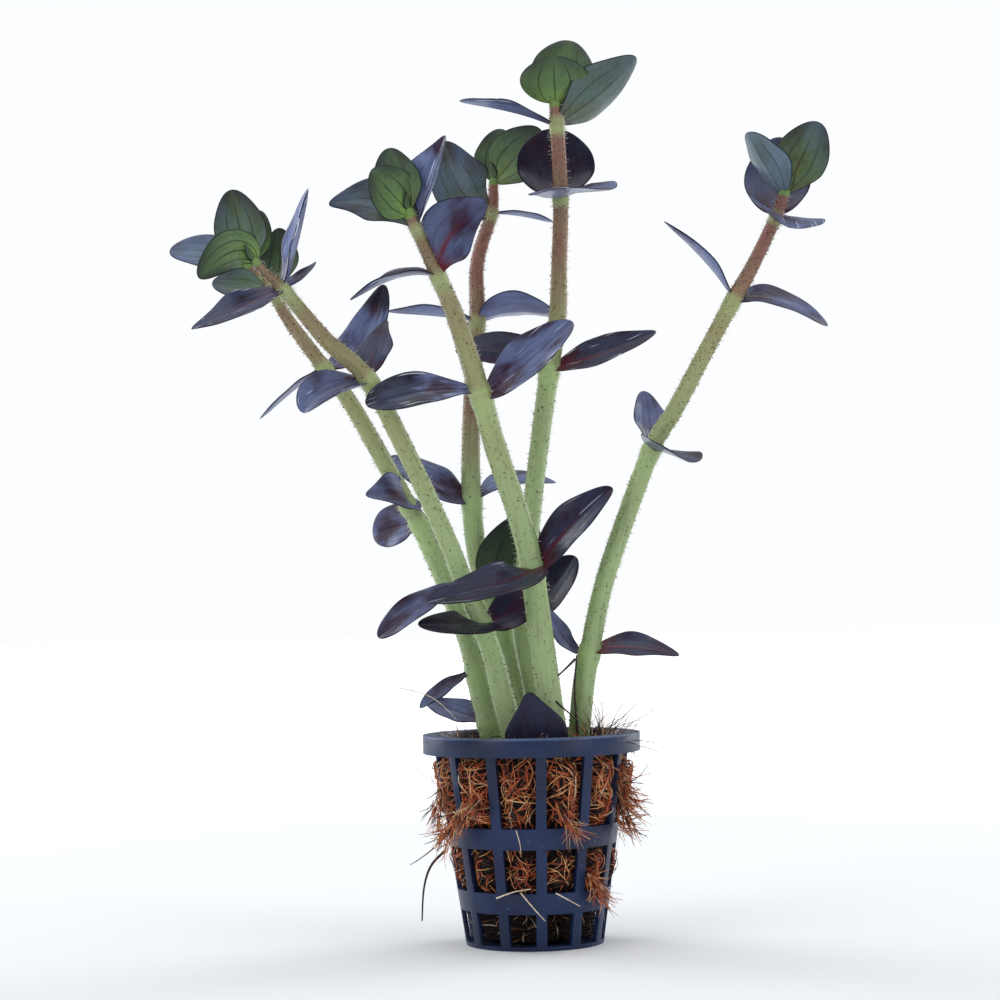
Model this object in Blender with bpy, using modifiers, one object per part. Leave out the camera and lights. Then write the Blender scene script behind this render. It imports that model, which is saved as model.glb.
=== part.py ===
# A pot of purple bacopa: six leafy stems planted in coir in a small slotted pot.
# Metres, Z up. The origin is the centre of the pot's base and the front looks along -Y.

import math

import bmesh
import bpy
from mathutils import Matrix, Vector

MM = 0.001
GAP = 0.3  # mm, between neighbouring pieces
UP = Vector((0.0, 0.0, 1.0))

# The pot, in millimetres and degrees
POT_HEIGHT = 48.0
POT_WALL = 1.1
BASE_RADIUS = 15.8
NECK_RADIUS = 22.7
RIM_RADIUS = 25.0
RIM_SKIRT = 4.4
SLOT_ROWS = ((0.95, 8.3), (13.0, 22.9), (27.6, 43.6))
BASE_SLOTS = (5.5, 12.5)
RIBS = 12
RIB_WIDTH = 2.4
FRONT_RIB = -85.2
COLUMNS_PER_RIB = 3

# The coir that fills the pot
COIR_TOP = 44.3
COIR_CROWN = 0.8
COIR_GAP = 0.35
SLOT_MARGIN = 0.45
LUMP_TAPER = 0.7
SOCKET_DEPTH = 7.5

# Strands and tufts that leave the coir: points with their radius at each
TUFTS = {
    "left": ((-12.6, -14.6, 33.0, 2.6), (-15.6, -17.4, 31.6, 2.5), (-20.0, -16.0, 28.4, 2.3),
             (-23.6, -11.6, 24.4, 1.7), (-25.2, -8.6, 20.6, 0.7)),
    "left_root": ((-23.9, -11.0, 23.6, 0.6), (-25.2, -9.4, 16.0, 0.4), (-25.9, -8.8, 10.0, 0.4),
                  (-26.2, -8.8, 4.4, 0.35)),
    "left_side": ((-17.4, -6.4, 31.6, 2.0), (-22.0, -8.2, 30.2, 1.8), (-24.6, -9.0, 26.6, 1.3)),
    "right": ((18.6, -3.4, 38.4, 3.2), (22.6, -4.2, 37.0, 3.0), (25.8, -4.8, 33.0, 2.2),
              (27.0, -5.0, 29.4, 1.0)),
    "right_low": ((13.4, -11.2, 16.8, 2.0), (16.8, -13.0, 14.6, 1.8), (19.2, -11.6, 11.6, 1.4),
                  (20.6, -10.2, 9.2, 0.7)),
    "twig": ((10.4, -6.0, 43.0, 0.5), (9.6, -5.8, 54.0, 0.45), (9.9, -5.4, 65.4, 0.35)),
    "rim_right": ((16.4, -7.0, 43.0, 0.9), (18.4, -7.6, 49.0, 0.6), (19.2, -7.2, 55.0, 0.3)),
}

# How far the coir bulges out of each slot of the two upper rows, counted from the front
ROW_BULGE = ((1, 0.9), (2, 1.1))
BULGE_WAVE = (0.5, 2.3)

# Each stem: points up its middle with the stem's radius, the last in the bud at its tip
STEMS = {
    "left": ((-0.6, -2.5, 36.6, 2.3), (-6.0, -4.0, 56.0, 2.35), (-15.2, -6.8, 84.0, 2.25),
             (-19.0, -8.0, 94.0, 2.15), (-27.5, -11.0, 113.5, 2.15), (-35.5, -14.0, 129.5, 2.1),
             (-44.5, -17.0, 138.2, 1.85), (-54.0, -20.0, 149.5, 1.7), (-60.0, -23.0, 155.0, 1.4)),
    "left_back": ((-7.3, 4.5, 36.6, 2.2), (-11.5, 5.0, 55.7, 2.25), (-15.0, 6.0, 71.5, 2.2),
                  (-24.1, 8.0, 94.5, 2.15), (-28.5, 9.0, 102.9, 2.15), (-40.0, 11.0, 124.5, 1.95),
                  (-46.7, 12.0, 134.5, 1.9), (-54.9, 13.5, 146.2, 1.6), (-59.3, 14.0, 152.8, 1.5),
                  (-64.9, 14.5, 158.8, 1.2)),
    "front": ((6.9, -8.0, 36.6, 2.8), (4.0, -8.0, 58.1, 2.9), (1.0, -9.0, 85.0, 2.8),
              (-1.4, -10.0, 97.0, 2.65), (-6.4, -11.5, 113.0, 2.6), (-10.0, -13.0, 126.1, 2.5),
              (-14.6, -15.0, 142.3, 2.2), (-19.0, -16.5, 152.3, 2.1), (-25.2, -18.5, 165.8, 1.5)),
    "back": ((3.6, 9.0, 36.6, 2.1), (-1.8, 9.5, 57.7, 2.15), (-6.0, 11.0, 73.9, 2.2),
             (-11.4, 14.0, 87.5, 2.35), (-12.9, 17.0, 103.7, 2.4), (-12.5, 20.0, 124.7, 2.05),
             (-10.7, 23.0, 146.0, 2.0), (-10.3, 25.0, 160.0, 1.7), (-6.1, 27.0, 172.5, 1.5),
             (-6.0, 27.5, 177.1, 1.2)),
    "tall": ((3.7, 2.0, 36.6, 2.1), (0.4, 2.5, 58.0, 2.15), (-1.9, 4.0, 75.0, 2.2),
             (1.0, 5.5, 97.0, 2.3), (2.8, 6.0, 110.3, 2.3), (6.2, 8.0, 132.7, 2.45),
             (8.3, 9.0, 144.5, 2.3), (9.0, 9.5, 157.5, 2.0), (9.8, 10.0, 173.6, 2.0),
             (8.9, 10.0, 191.3, 1.75), (8.7, 10.0, 195.2, 1.3)),
    "right": ((9.9, -1.0, 36.6, 2.4), (12.1, -1.5, 57.8, 2.5), (13.9, -2.0, 67.0, 2.35),
              (16.5, -2.5, 78.5, 2.15), (20.1, -3.5, 89.9, 2.15), (28.9, -5.0, 112.7, 2.2),
              (34.4, -6.0, 121.7, 2.0), (41.9, -7.0, 135.2, 1.95), (48.4, -8.0, 146.8, 1.9),
              (52.4, -8.5, 154.3, 1.65), (58.0, -9.0, 165.5, 1.5), (60.1, -9.0, 170.2, 1.2)),
}
STEM_STEP = 12.0
STEM_SIDES = 2  # bevel resolution of the curve

# The youngest pair of leaves on each stem: tip, way the upper face looks, and width
SHOOT_TIPS = {
    "left": (((-71.4, -30.0, 150.4), (0.2, 0.9, 0.3), 13.0),
             ((-69.1, -18.0, 161.8), (0.3, -0.9, 0.2), 10.0)),
    "left_back": (((-68.5, 12.5, 177.6), (0.1, -1.0, 0.1), 12.5),
                  ((-63.0, 19.0, 174.0), (0.0, -1.0, 0.3), 11.5)),
    "front": (((-33.0, -24.0, 175.4), (0.3, 0.9, 0.4), 10.0),
              ((-30.2, -16.5, 181.1), (0.1, -1.0, 0.1), 11.5)),
    "back": (((-4.9, 31.0, 193.8), (-0.3, -1.0, 0.1), 10.5),
             ((6.6, 24.0, 192.1), (-0.2, -1.0, 0.1), 12.0)),
    "tall": (((7.2, 3.0, 205.3), (0.0, 0.84, 0.55), 15.0),
             ((11.6, 16.0, 211.8), (0.0, -1.0, 0.3), 15.0)),
    "right": (((69.4, -7.0, 186.0), (-0.15, -1.0, 0.1), 11.5),
              ((51.5, -14.0, 183.4), (0.75, 0.5, 0.4), 11.0)),
}
BUD_RADIUS = 1.7
BUD_LENGTH = 2.2

# The older leaves: name, stem, height of the node, way the leaf leaves the stem, its tip,
# way its upper face looks, and its width
LEAVES = (
    ("left_1_upright", "left", 149.5, (0.35, 0.1, 0.95), (-48.0, -18.0, 172.2), (-0.95, -0.3, 0.25), 11.5),
    ("left_1_low", "left", 149.5, (-0.9, -0.3, -0.2), (-74.0, -24.0, 140.4), (-0.3, -0.4, 0.88), 12.0),
    ("left_2_drooping", "left", 129.5, (-0.8, -0.75, 0.5), (-50.0, -23.0, 121.2), (-0.35, -0.6, 0.75), 13.5),
    ("left_2_upright", "left", 129.5, (0.3, 0.6, 0.6), (-35.4, -4.0, 143.9), (-0.7, -0.7, 0.3), 10.5),
    ("left_3_low", "left", 84.0, (-0.8, -0.5, 0.0), (-34.0, -12.0, 71.0), (-0.35, -0.2, 0.9), 10.5),
    ("left_4_flat", "left", 73.5, (0.15, -0.95, 0.0), (-25.0, -14.0, 73.2), (0.0, -0.38, 0.92), 12.0),
    ("left_back_1_far", "left_back", 156.1, (-0.9, 0.2, 0.4), (-84.0, 18.0, 165.2), (0.25, -0.7, 0.65), 10.0),
    ("left_back_1_near", "left_back", 156.1, (0.6, 0.7, 0.4), (-57.9, 22.0, 169.4), (-0.3, -0.95, 0.3), 9.5),
    ("left_back_2_low", "left_back", 152.8, (-0.5, -0.8, 0.0), (-75.0, 4.0, 154.6), (0.3, -0.6, 0.75), 10.5),
    ("left_back_3_upright", "left_back", 134.5, (0.7, 0.3, 0.5), (-31.7, 16.0, 154.2), (-0.6, -0.75, 0.3), 10.8),
    ("left_back_3_thin", "left_back", 134.5, (-0.8, -0.2, -0.3), (-62.4, 8.0, 122.5), (-0.6, -0.02, 0.8), 10.0),
    ("left_back_4_folded", "left_back", 101.0, (-0.5, -0.85, 0.4), (-37.8, -1.0, 103.6), (-0.1, -0.8, 0.6), 13.0),
    ("left_back_4_round", "left_back", 100.0, (-0.3, 0.95, 0.0), (-35.4, 21.0, 93.6), (-0.35, -0.95, 0.15), 12.0),
    ("left_back_5_narrow", "left_back", 63.3, (-0.8, -0.6, 0.0), (-25.8, -4.0, 54.2), (-0.55, -0.05, 0.8), 7.5),
    ("left_back_6_low", "left_back", 52.5, (-0.7, 0.7, 0.0), (-24.4, 14.0, 54.2), (0.0, -0.7, 0.7), 9.0),
    ("front_1_left", "front", 163.2, (-0.9, 0.2, 0.9), (-43.8, -14.0, 171.0), (0.1, -0.9, 0.4), 12.5),
    ("front_1_right", "front", 163.2, (0.5, 0.3, 0.8), (-17.4, -16.5, 182.4), (-0.8, -0.6, 0.25), 12.5),
    ("front_2_right", "front", 152.3, (0.4, -0.6, 0.7), (-11.8, -24.0, 169.2), (-0.35, -0.95, 0.25), 17.5),
    ("front_2_left", "front", 152.3, (-0.95, 0.2, 0.1), (-39.3, -13.0, 147.5), (-0.25, -0.2, 0.95), 11.5),
    ("front_3_left", "front", 127.4, (-0.9, -0.3, 0.1), (-35.6, -21.0, 122.8), (-0.1, -0.75, 0.65), 13.0),
    ("front_3_right", "front", 126.1, (0.9, -0.2, 0.3), (10.7, -17.0, 140.2), (-0.4, -0.65, 0.6), 12.0),
    ("front_4_left", "front", 85.0, (-0.3, -0.95, 0.15), (-22.9, -21.0, 78.7), (-0.1, -0.6, 0.75), 12.5),
    ("front_4_right", "front", 85.0, (0.75, -0.3, 0.75), (18.8, -14.0, 104.0), (-0.5, -0.65, 0.5), 11.5),
    ("back_1_left", "back", 172.5, (-0.6, -0.3, 0.7), (-18.7, 22.0, 189.0), (0.35, -0.9, 0.25), 14.0),
    ("back_1_right", "back", 172.5, (0.9, 0.3, 0.15), (8.6, 33.0, 171.0), (0.0, -0.1, 1.0), 10.5),
    ("back_2_left", "back", 146.0, (-0.95, -0.1, 0.2), (-31.8, 20.0, 148.9), (0.1, 0.06, 1.0), 11.0),
    ("back_2_right", "back", 146.0, (0.75, -0.1, 0.8), (6.9, 20.0, 147.9), (0.0, 0.35, 0.94), 12.5),
    ("back_3_left", "back", 103.7, (-0.9, 0.1, 0.4), (-31.6, 18.0, 113.0), (0.35, -0.55, 0.75), 12.0),
    ("back_3_right", "back", 103.7, (0.9, 0.2, 0.3), (7.8, 22.0, 106.9), (-0.1, -0.05, 1.0), 11.0),
    ("back_4_right", "back", 73.9, (0.8, 0.4, 0.4), (11.4, 17.0, 89.0), (-0.45, -0.65, 0.6), 12.0),
    ("tall_1_right", "tall", 191.3, (0.85, -0.15, 0.35), (27.8, 6.0, 205.0), (-0.5, 0.5, 0.7), 14.0),
    ("tall_1_left", "tall", 191.3, (-0.9, 0.15, 0.4), (-13.9, 14.0, 197.3), (0.25, -0.08, 0.97), 12.0),
    ("tall_2_back", "tall", 173.6, (-0.05, 0.8, 0.5), (6.4, 22.0, 191.7), (0.0, -0.83, 0.56), 17.5),
    ("tall_2_front", "tall", 173.6, (0.2, -0.95, 0.1), (16.0, -11.0, 170.4), (-0.12, -0.2, 0.97), 18.5),
    ("tall_3_right", "tall", 132.7, (0.95, -0.2, 0.35), (30.9, 3.0, 140.9), (-0.3, -0.5, 0.8), 12.0),
    ("tall_3_left", "tall", 132.7, (-0.9, 0.2, 0.3), (-12.2, 12.0, 139.2), (0.3, -0.6, 0.7), 13.0),
    ("tall_4_left", "tall", 79.0, (-0.5, 0.6, 0.6), (0.5, 10.0, 98.7), (-0.1, -1.0, 0.2), 17.0),
    ("right_1_back", "right", 165.5, (0.0, 0.8, 0.5), (60.6, 4.0, 183.1), (-0.1, -0.83, 0.56), 15.5),
    ("right_1_front", "right", 165.5, (0.2, -0.95, 0.0), (60.6, -25.0, 162.0), (0.31, -0.3, 0.9), 17.0),
    ("right_2_left", "right", 146.8, (-0.4, -0.1, 0.9), (32.4, -12.0, 164.2), (0.75, -0.05, 0.64), 11.0),
    ("right_2_right", "right", 146.8, (0.9, 0.1, 0.65), (69.7, -6.0, 140.5), (0.25, -0.5, 0.9), 12.0),
    ("right_3_back", "right", 112.7, (-0.2, 0.85, 0.5), (27.6, 9.0, 127.5), (0.5, -0.75, 0.45), 10.0),
    ("right_3_front", "right", 112.7, (0.35, -0.93, 0.0), (36.4, -21.0, 108.8), (0.35, -0.15, 0.93), 15.5),
    ("right_4_left", "right", 67.0, (-0.8, 0.1, 0.5), (3.6, -1.0, 79.0), (0.65, -0.5, 0.55), 7.5),
    ("right_4_right", "right", 67.0, (0.9, -0.2, 0.4), (34.4, -6.0, 65.5), (0.0, -0.4, 0.92), 12.0),
)
LEAF_SIDES = 6
LEAF_RINGS = 8
LEAF_THICKNESS = 1.0
LEAF_NECK = 0.45  # share of the full width at the foot of the blade
LEAF_FOLD = 0.22  # how far the edges rise above the midrib, against the half width
LEAF_LEAD = 0.4  # share of its length that a leaf follows the way it leaves the stem

# A leaf whose foot is buried, standing against the rim in front of the stems
RIM_LEAF = {"foot": (1.2, -15.0, 46.2), "out": (-0.1, -0.1, 1.0), "tip": (-0.3, -17.0, 57.6),
            "face": (0.0, 0.97, 0.2), "width": 14.0, "neck": 1.0}

COLOURS = {
    "pot": ((0.030, 0.048, 0.085), 0.35),
    "coir": ((0.22, 0.08, 0.03), 0.9),
    "stem": ((0.28, 0.36, 0.12), 0.5),
    "young": ((0.06, 0.12, 0.04), 0.35),
    "leaf": ((0.05, 0.035, 0.07), 0.3),
}


def clear_scene():
    for old in list(bpy.data.objects):
        bpy.data.objects.remove(old, do_unlink=True)


def new_collection(name):
    collection = bpy.data.collections.new(name)
    bpy.context.scene.collection.children.link(collection)
    return collection


def material(name, kind):
    colour, roughness = COLOURS[kind]
    made = bpy.data.materials.new(name)
    made.use_nodes = True
    shader = made.node_tree.nodes["Principled BSDF"]
    shader.inputs["Base Color"].default_value = (*colour, 1.0)
    shader.inputs["Roughness"].default_value = roughness
    shader.inputs["Metallic"].default_value = 0.0
    return made


def place(name, data, kind, collection):
    data.materials.append(material(name, kind))
    made = bpy.data.objects.new(name, data)
    collection.objects.link(made)
    return made


def mesh_object(name, bm, kind, collection):
    """Turns a bmesh drawn in millimetres into an object in metres."""
    bmesh.ops.scale(bm, vec=(MM, MM, MM), verts=bm.verts)
    mesh = bpy.data.meshes.new(name)
    bm.to_mesh(mesh)
    bm.free()
    mesh.shade_smooth()
    mesh.set_sharp_from_angle(angle=math.radians(50.0))
    return place(name, mesh, kind, collection)


def cutter(made, collection):
    for owner in list(made.users_collection):
        owner.objects.unlink(made)
    collection.objects.link(made)
    made.hide_render = True
    made.display_type = "WIRE"
    return made


def boolean(target, other, operation):
    modifier = target.modifiers.new(other.name, "BOOLEAN")
    modifier.operation = operation
    modifier.solver = "EXACT"
    modifier.object = other


def wall_radius(height):
    return BASE_RADIUS + (NECK_RADIUS - BASE_RADIUS) * height / (POT_HEIGHT - POT_WALL)


def turned(profile):
    """Spins a profile of (radius, height) points about Z, one column to each rib and two to each slot."""
    bm = bmesh.new()
    verts = [bm.verts.new((radius, 0.0, height)) for radius, height in profile]
    edges = [bm.edges.new(pair) for pair in zip(verts, verts[1:])]
    bmesh.ops.spin(bm, geom=verts + edges, cent=(0, 0, 0), axis=(0, 0, 1), dvec=(0, 0, 0),
                   angle=2 * math.pi, steps=RIBS * COLUMNS_PER_RIB, use_merge=True, use_duplicate=False)
    bmesh.ops.remove_doubles(bm, verts=bm.verts, dist=0.001)
    bmesh.ops.recalc_face_normals(bm, faces=bm.faces)
    for vert in bm.verts:
        align_to_ribs(vert)
    return bm


def align_to_ribs(vert):
    """Moves a turned point round the axis so that the ribs keep one width from top to bottom."""
    radius = math.hypot(vert.co.x, vert.co.y)
    if radius < 1.0:
        return
    pitch = 360.0 / RIBS
    step = round(math.degrees(math.atan2(vert.co.y, vert.co.x)) / (pitch / COLUMNS_PER_RIB))
    half = min(math.degrees(RIB_WIDTH / 2 / radius), pitch / 4)
    within = (-half, half, pitch / 2)[step % COLUMNS_PER_RIB]
    angle = math.radians(FRONT_RIB + pitch * (step // COLUMNS_PER_RIB) + within)
    vert.co.x = radius * math.cos(angle)
    vert.co.y = radius * math.sin(angle)


def slot_number(point):
    """The number of the slot that a point lies behind, or None behind a rib."""
    pitch = 360.0 / RIBS
    turn = (math.degrees(math.atan2(point.y, point.x)) - FRONT_RIB) / pitch
    offset = abs(turn - round(turn)) * pitch
    radius = math.hypot(point.x, point.y)
    if offset < math.degrees(RIB_WIDTH / 2 / radius):
        return None
    return math.floor(turn) % RIBS


def in_rows(height, rows):
    return any(low < height < high for low, high in rows)


def build_pot(collection):
    skirt_foot = POT_HEIGHT - RIM_SKIRT
    ledge = POT_HEIGHT - POT_WALL
    skirt_inside = RIM_RADIUS - POT_WALL
    wall_heights = [edge for row in SLOT_ROWS for edge in row]
    profile = [(0.0, 0.0), (BASE_SLOTS[0], 0.0), (BASE_SLOTS[1], 0.0), (BASE_RADIUS, 0.0)]
    profile += [(wall_radius(height), height) for height in wall_heights]
    profile += [(NECK_RADIUS, ledge), (skirt_inside, ledge), (skirt_inside, skirt_foot)]
    bm = turned(profile)
    foot = next(face for face in bm.faces if face.calc_center_median().z < 0.01)
    if foot.normal.z > 0:
        bmesh.ops.reverse_faces(bm, faces=bm.faces)
    holes = [face for face in bm.faces if is_pot_hole(face.calc_center_median())]
    bmesh.ops.delete(bm, geom=holes, context="FACES")
    pot = mesh_object("pot", bm, "pot", collection)
    wall = pot.modifiers.new("wall", "SOLIDIFY")
    wall.thickness = POT_WALL * MM
    wall.offset = -1.0
    wall.use_even_offset = True
    return pot


def is_pot_hole(centre):
    radius = math.hypot(centre.x, centre.y)
    if slot_number(centre) is None:
        return False
    if centre.z < 0.01:
        return BASE_SLOTS[0] < radius < BASE_SLOTS[1]
    return in_rows(centre.z, SLOT_ROWS) and radius < NECK_RADIUS


def bulge(row, slot):
    """How far the coir stands out of a slot, a slow wave round the pot."""
    turn = 2 * math.pi * slot / RIBS
    return dict(ROW_BULGE)[row] * (1.0 + 0.4 * math.sin(BULGE_WAVE[0] + BULGE_WAVE[1] * turn * row))


def build_coir(collection, cutters):
    floor = POT_WALL + GAP
    heights = [floor] + [edge for row in SLOT_ROWS for edge in row if edge > floor] + [COIR_TOP]
    profile = [(0.0, floor)]
    profile += [(wall_radius(height) - POT_WALL - COIR_GAP, height) for height in heights]
    profile += [(wall_radius(COIR_TOP) * 0.55, COIR_TOP + COIR_CROWN), (0.0, COIR_TOP + COIR_CROWN)]
    bm = turned(profile)
    for row, _ in ROW_BULGE:
        for slot in range(RIBS):
            push_lump(bm, row, slot)
    coir = mesh_object("growing_medium", bm, "coir", collection)
    for name, points in TUFTS.items():
        tuft = tube("tuft_" + name, points, "coir", collection)
        boolean(coir, cutter(as_mesh(tuft), cutters), "UNION")
    for name, points in STEMS.items():
        boolean(coir, cutter(socket(name, points, collection), cutters), "DIFFERENCE")
    return coir


def push_lump(bm, row, slot):
    """Insets the coir behind one slot and pushes it out through the slot."""
    low, high = SLOT_ROWS[row]
    behind = []
    for face in bm.faces:
        centre = face.calc_center_median()
        if low < centre.z < high and abs(face.normal.z) < 0.5 and slot_number(centre) == slot:
            behind.append(face)
    bmesh.ops.inset_region(bm, faces=behind, thickness=SLOT_MARGIN, use_even_offset=True)
    for reach, taper in ((POT_WALL + COIR_GAP, 0.0), (bulge(row, slot), LUMP_TAPER)):
        if taper:
            bmesh.ops.inset_region(bm, faces=behind, thickness=taper, use_even_offset=True)
        grown = bmesh.ops.extrude_face_region(bm, geom=behind)
        bmesh.ops.delete(bm, geom=behind, context="FACES")
        behind = [item for item in grown["geom"] if isinstance(item, bmesh.types.BMFace)]
        for vert in {vert for face in behind for vert in face.verts}:
            vert.co += Vector((vert.co.x, vert.co.y, 0.0)).normalized() * reach


def socket(name, points, collection):
    """The hole that a stem stands in, straight along the foot of the stem."""
    foot, above = Vector(points[0][:3]), Vector(points[1][:3])
    axis = (above - foot).normalized()
    bm = bmesh.new()
    length = SOCKET_DEPTH + 6.0
    radius = max(points[0][3], points[1][3]) + GAP
    turn = UP.rotation_difference(axis).to_matrix().to_4x4()
    at = Matrix.Translation(foot + axis * (length / 2 - GAP - 0.1)) @ turn
    bmesh.ops.create_cone(bm, cap_ends=True, segments=10, radius1=radius, radius2=radius,
                          depth=length, matrix=at)
    return mesh_object("socket_" + name, bm, "coir", collection)


def smooth_route(points, step):
    """Points about a step apart on a smooth curve through the given ones, each with its radius."""
    knots = [Vector(point) for point in points]
    route = []
    for index in range(len(knots) - 1):
        before = knots[max(index - 1, 0)]
        start, end = knots[index], knots[index + 1]
        after = knots[min(index + 2, len(knots) - 1)]
        count = max(1, round((end - start).length / step))
        for part in range(count):
            route.append(curve_between(before, start, end, after, part / count))
    route.append(knots[-1])
    return route


def curve_between(before, start, end, after, part):
    leave = (end - before) * 0.5
    arrive = (after - start) * 0.5
    cube, square = part ** 3, part ** 2
    return (start * (2 * cube - 3 * square + 1) + leave * (cube - 2 * square + part)
            + end * (3 * square - 2 * cube) + arrive * (cube - square))


def tube(name, points, kind, collection):
    """A round tube as a curve, whose radius follows its points."""
    data = bpy.data.curves.new(name, "CURVE")
    data.dimensions = "3D"
    data.bevel_depth = MM
    data.bevel_resolution = STEM_SIDES
    data.use_fill_caps = True
    spline = data.splines.new("POLY")
    spline.points.add(len(points) - 1)
    for knot, point in zip(spline.points, points):
        knot.co = (point[0] * MM, point[1] * MM, point[2] * MM, 1.0)
        knot.radius = point[3]
    return place(name, data, kind, collection)


def as_mesh(curve_object):
    """Replaces a curve by its mesh with welded caps."""
    graph = bpy.context.evaluated_depsgraph_get()
    mesh = bpy.data.meshes.new_from_object(curve_object.evaluated_get(graph))
    bm = bmesh.new()
    bm.from_mesh(mesh)
    bmesh.ops.remove_doubles(bm, verts=bm.verts, dist=0.00001)
    bm.to_mesh(mesh)
    bm.free()
    name = curve_object.name
    made = bpy.data.objects.new(name + "_mesh", mesh)
    made.matrix_world = curve_object.matrix_world
    curve_object.users_collection[0].objects.link(made)
    bpy.data.objects.remove(curve_object, do_unlink=True)
    made.name = name
    return made


def stem_direction(points):
    return (Vector(points[-1][:3]) - Vector(points[-2][:3])).normalized()


def build_stem(name, collection):
    points = [Vector(point) for point in STEMS[name]]
    trim = stem_direction(points) * (BUD_LENGTH + GAP)
    points[-1] = Vector((*(points[-1].xyz - trim), points[-1].w))
    return tube("stem_" + name, smooth_route(points, STEM_STEP), "stem", collection)


def stem_at(name, height):
    """The middle of a stem at a height, the way it runs there and its radius."""
    route = smooth_route(STEMS[name], 1.0)
    for low, high in zip(route, route[1:]):
        if low.z <= height <= high.z:
            part = (height - low.z) / (high.z - low.z)
            at = low.lerp(high, part)
            return at.xyz, (high - low).xyz.normalized(), at.w
    return route[-1].xyz, stem_direction(STEMS[name]), route[-1].w


def add_leaf(bm, foot, out, tip, face, width, neck=LEAF_NECK):
    """Shapes a flattened ball into a leaf from its foot to its tip."""
    foot, tip, face = Vector(foot), Vector(tip), Vector(face)
    bend = foot + Vector(out).normalized() * (tip - foot).length * LEAF_LEAD
    ball = bmesh.ops.create_uvsphere(bm, u_segments=LEAF_SIDES, v_segments=LEAF_RINGS, radius=1.0)
    for vert in ball["verts"]:
        along = (1.0 - vert.co.z) / 2
        side, rise = turn_half_side(vert.co)
        middle = foot.lerp(bend, along).lerp(bend.lerp(tip, along), along)
        forward = (bend - foot).lerp(tip - bend, along).normalized()
        normal = (face - forward * face.dot(forward)).normalized()
        across = forward.cross(normal)
        opening = neck + (1.0 - neck) * min(1.0, along / 0.5) ** 1.5
        half = width / 2 * opening
        fold = LEAF_FOLD * half * side * side
        vert.co = middle + across * side * half + normal * (rise * LEAF_THICKNESS / 2 + fold)


def turn_half_side(point):
    """Turns a ball's point by half a side, so that a line of points runs down the midrib."""
    angle = math.pi / LEAF_SIDES
    return (point.x * math.cos(angle) - point.y * math.sin(angle),
            point.x * math.sin(angle) + point.y * math.cos(angle))


def build_leaf(row, collection):
    name, stem, height, out, tip, face, width = row
    middle, along, radius = stem_at(stem, height)
    out = Vector(out)
    outward = (out - along * out.dot(along)).normalized()
    bm = bmesh.new()
    add_leaf(bm, middle + outward * (radius + GAP), out, tip, face, width)
    return mesh_object("leaf_" + name, bm, "leaf", collection)


def build_shoot_tip(name, collection, cutters):
    """The bud at the end of a stem with its youngest pair of leaves, grown as one."""
    middle = Vector(STEMS[name][-1][:3])
    turn = UP.rotation_difference(stem_direction(STEMS[name])).to_matrix().to_4x4()
    stretch = Matrix.Diagonal((BUD_RADIUS, BUD_RADIUS, BUD_LENGTH, 1.0))
    bm = bmesh.new()
    bmesh.ops.create_uvsphere(bm, u_segments=8, v_segments=6, radius=1.0,
                              matrix=Matrix.Translation(middle) @ turn @ stretch)
    shoot = mesh_object("shoot_tip_" + name, bm, "young", collection)
    for number, (tip, face, width) in enumerate(SHOOT_TIPS[name], 1):
        out = (Vector(tip) - middle).normalized()
        bm = bmesh.new()
        add_leaf(bm, middle + out * 0.6, out, tip, face, width)
        young = mesh_object("young_{}_{}".format(name, number), bm, "young", collection)
        boolean(shoot, cutter(young, cutters), "UNION")
    return shoot


def build_rim_leaf(collection):
    bm = bmesh.new()
    add_leaf(bm, RIM_LEAF["foot"], RIM_LEAF["out"], RIM_LEAF["tip"], RIM_LEAF["face"], RIM_LEAF["width"],
             RIM_LEAF["neck"])
    return mesh_object("leaf_low_front", bm, "leaf", collection)


def main():
    clear_scene()
    parts = new_collection("potted_bacopa")
    cutters = new_collection("cutters")
    build_pot(parts)
    build_coir(parts, cutters)
    for name in STEMS:
        build_stem(name, parts)
        build_shoot_tip(name, parts, cutters)
    for row in LEAVES:
        build_leaf(row, parts)
    build_rim_leaf(parts)


main()
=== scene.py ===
import math
import random

import bmesh
import bpy
from mathutils import Matrix, Vector


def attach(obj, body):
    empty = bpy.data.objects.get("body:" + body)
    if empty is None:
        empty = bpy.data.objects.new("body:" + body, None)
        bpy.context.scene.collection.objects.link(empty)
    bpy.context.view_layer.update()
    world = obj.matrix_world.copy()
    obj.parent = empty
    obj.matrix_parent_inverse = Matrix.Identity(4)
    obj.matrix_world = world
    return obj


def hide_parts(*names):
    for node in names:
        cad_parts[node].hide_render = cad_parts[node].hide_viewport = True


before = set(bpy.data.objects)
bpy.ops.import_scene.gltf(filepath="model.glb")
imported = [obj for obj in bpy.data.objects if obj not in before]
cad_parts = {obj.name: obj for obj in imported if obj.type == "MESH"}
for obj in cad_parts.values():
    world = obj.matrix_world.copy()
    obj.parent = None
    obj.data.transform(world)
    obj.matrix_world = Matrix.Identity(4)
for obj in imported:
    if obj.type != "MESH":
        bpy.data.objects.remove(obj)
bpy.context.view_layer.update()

mm = 0.001
up = Vector((0.0, 0.0, 1.0))


# Small helpers for meshes and materials

def keep(bm, name, material, stands=()):
    # from millimetres to an object of the scene that rides on the root
    bmesh.ops.scale(bm, vec=(mm, mm, mm), verts=bm.verts)
    mesh = bpy.data.meshes.new(name)
    bm.to_mesh(mesh)
    bm.free()
    mesh.shade_smooth()
    return keepMesh(mesh, name, material, stands)


def keepMesh(mesh, name, material, stands=()):
    mesh.materials.clear()
    mesh.materials.append(material)
    piece = bpy.data.objects.new(name, mesh)
    bpy.context.scene.collection.objects.link(piece)
    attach(piece, "root")
    if stands:
        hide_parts(*stands)
    return piece


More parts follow.
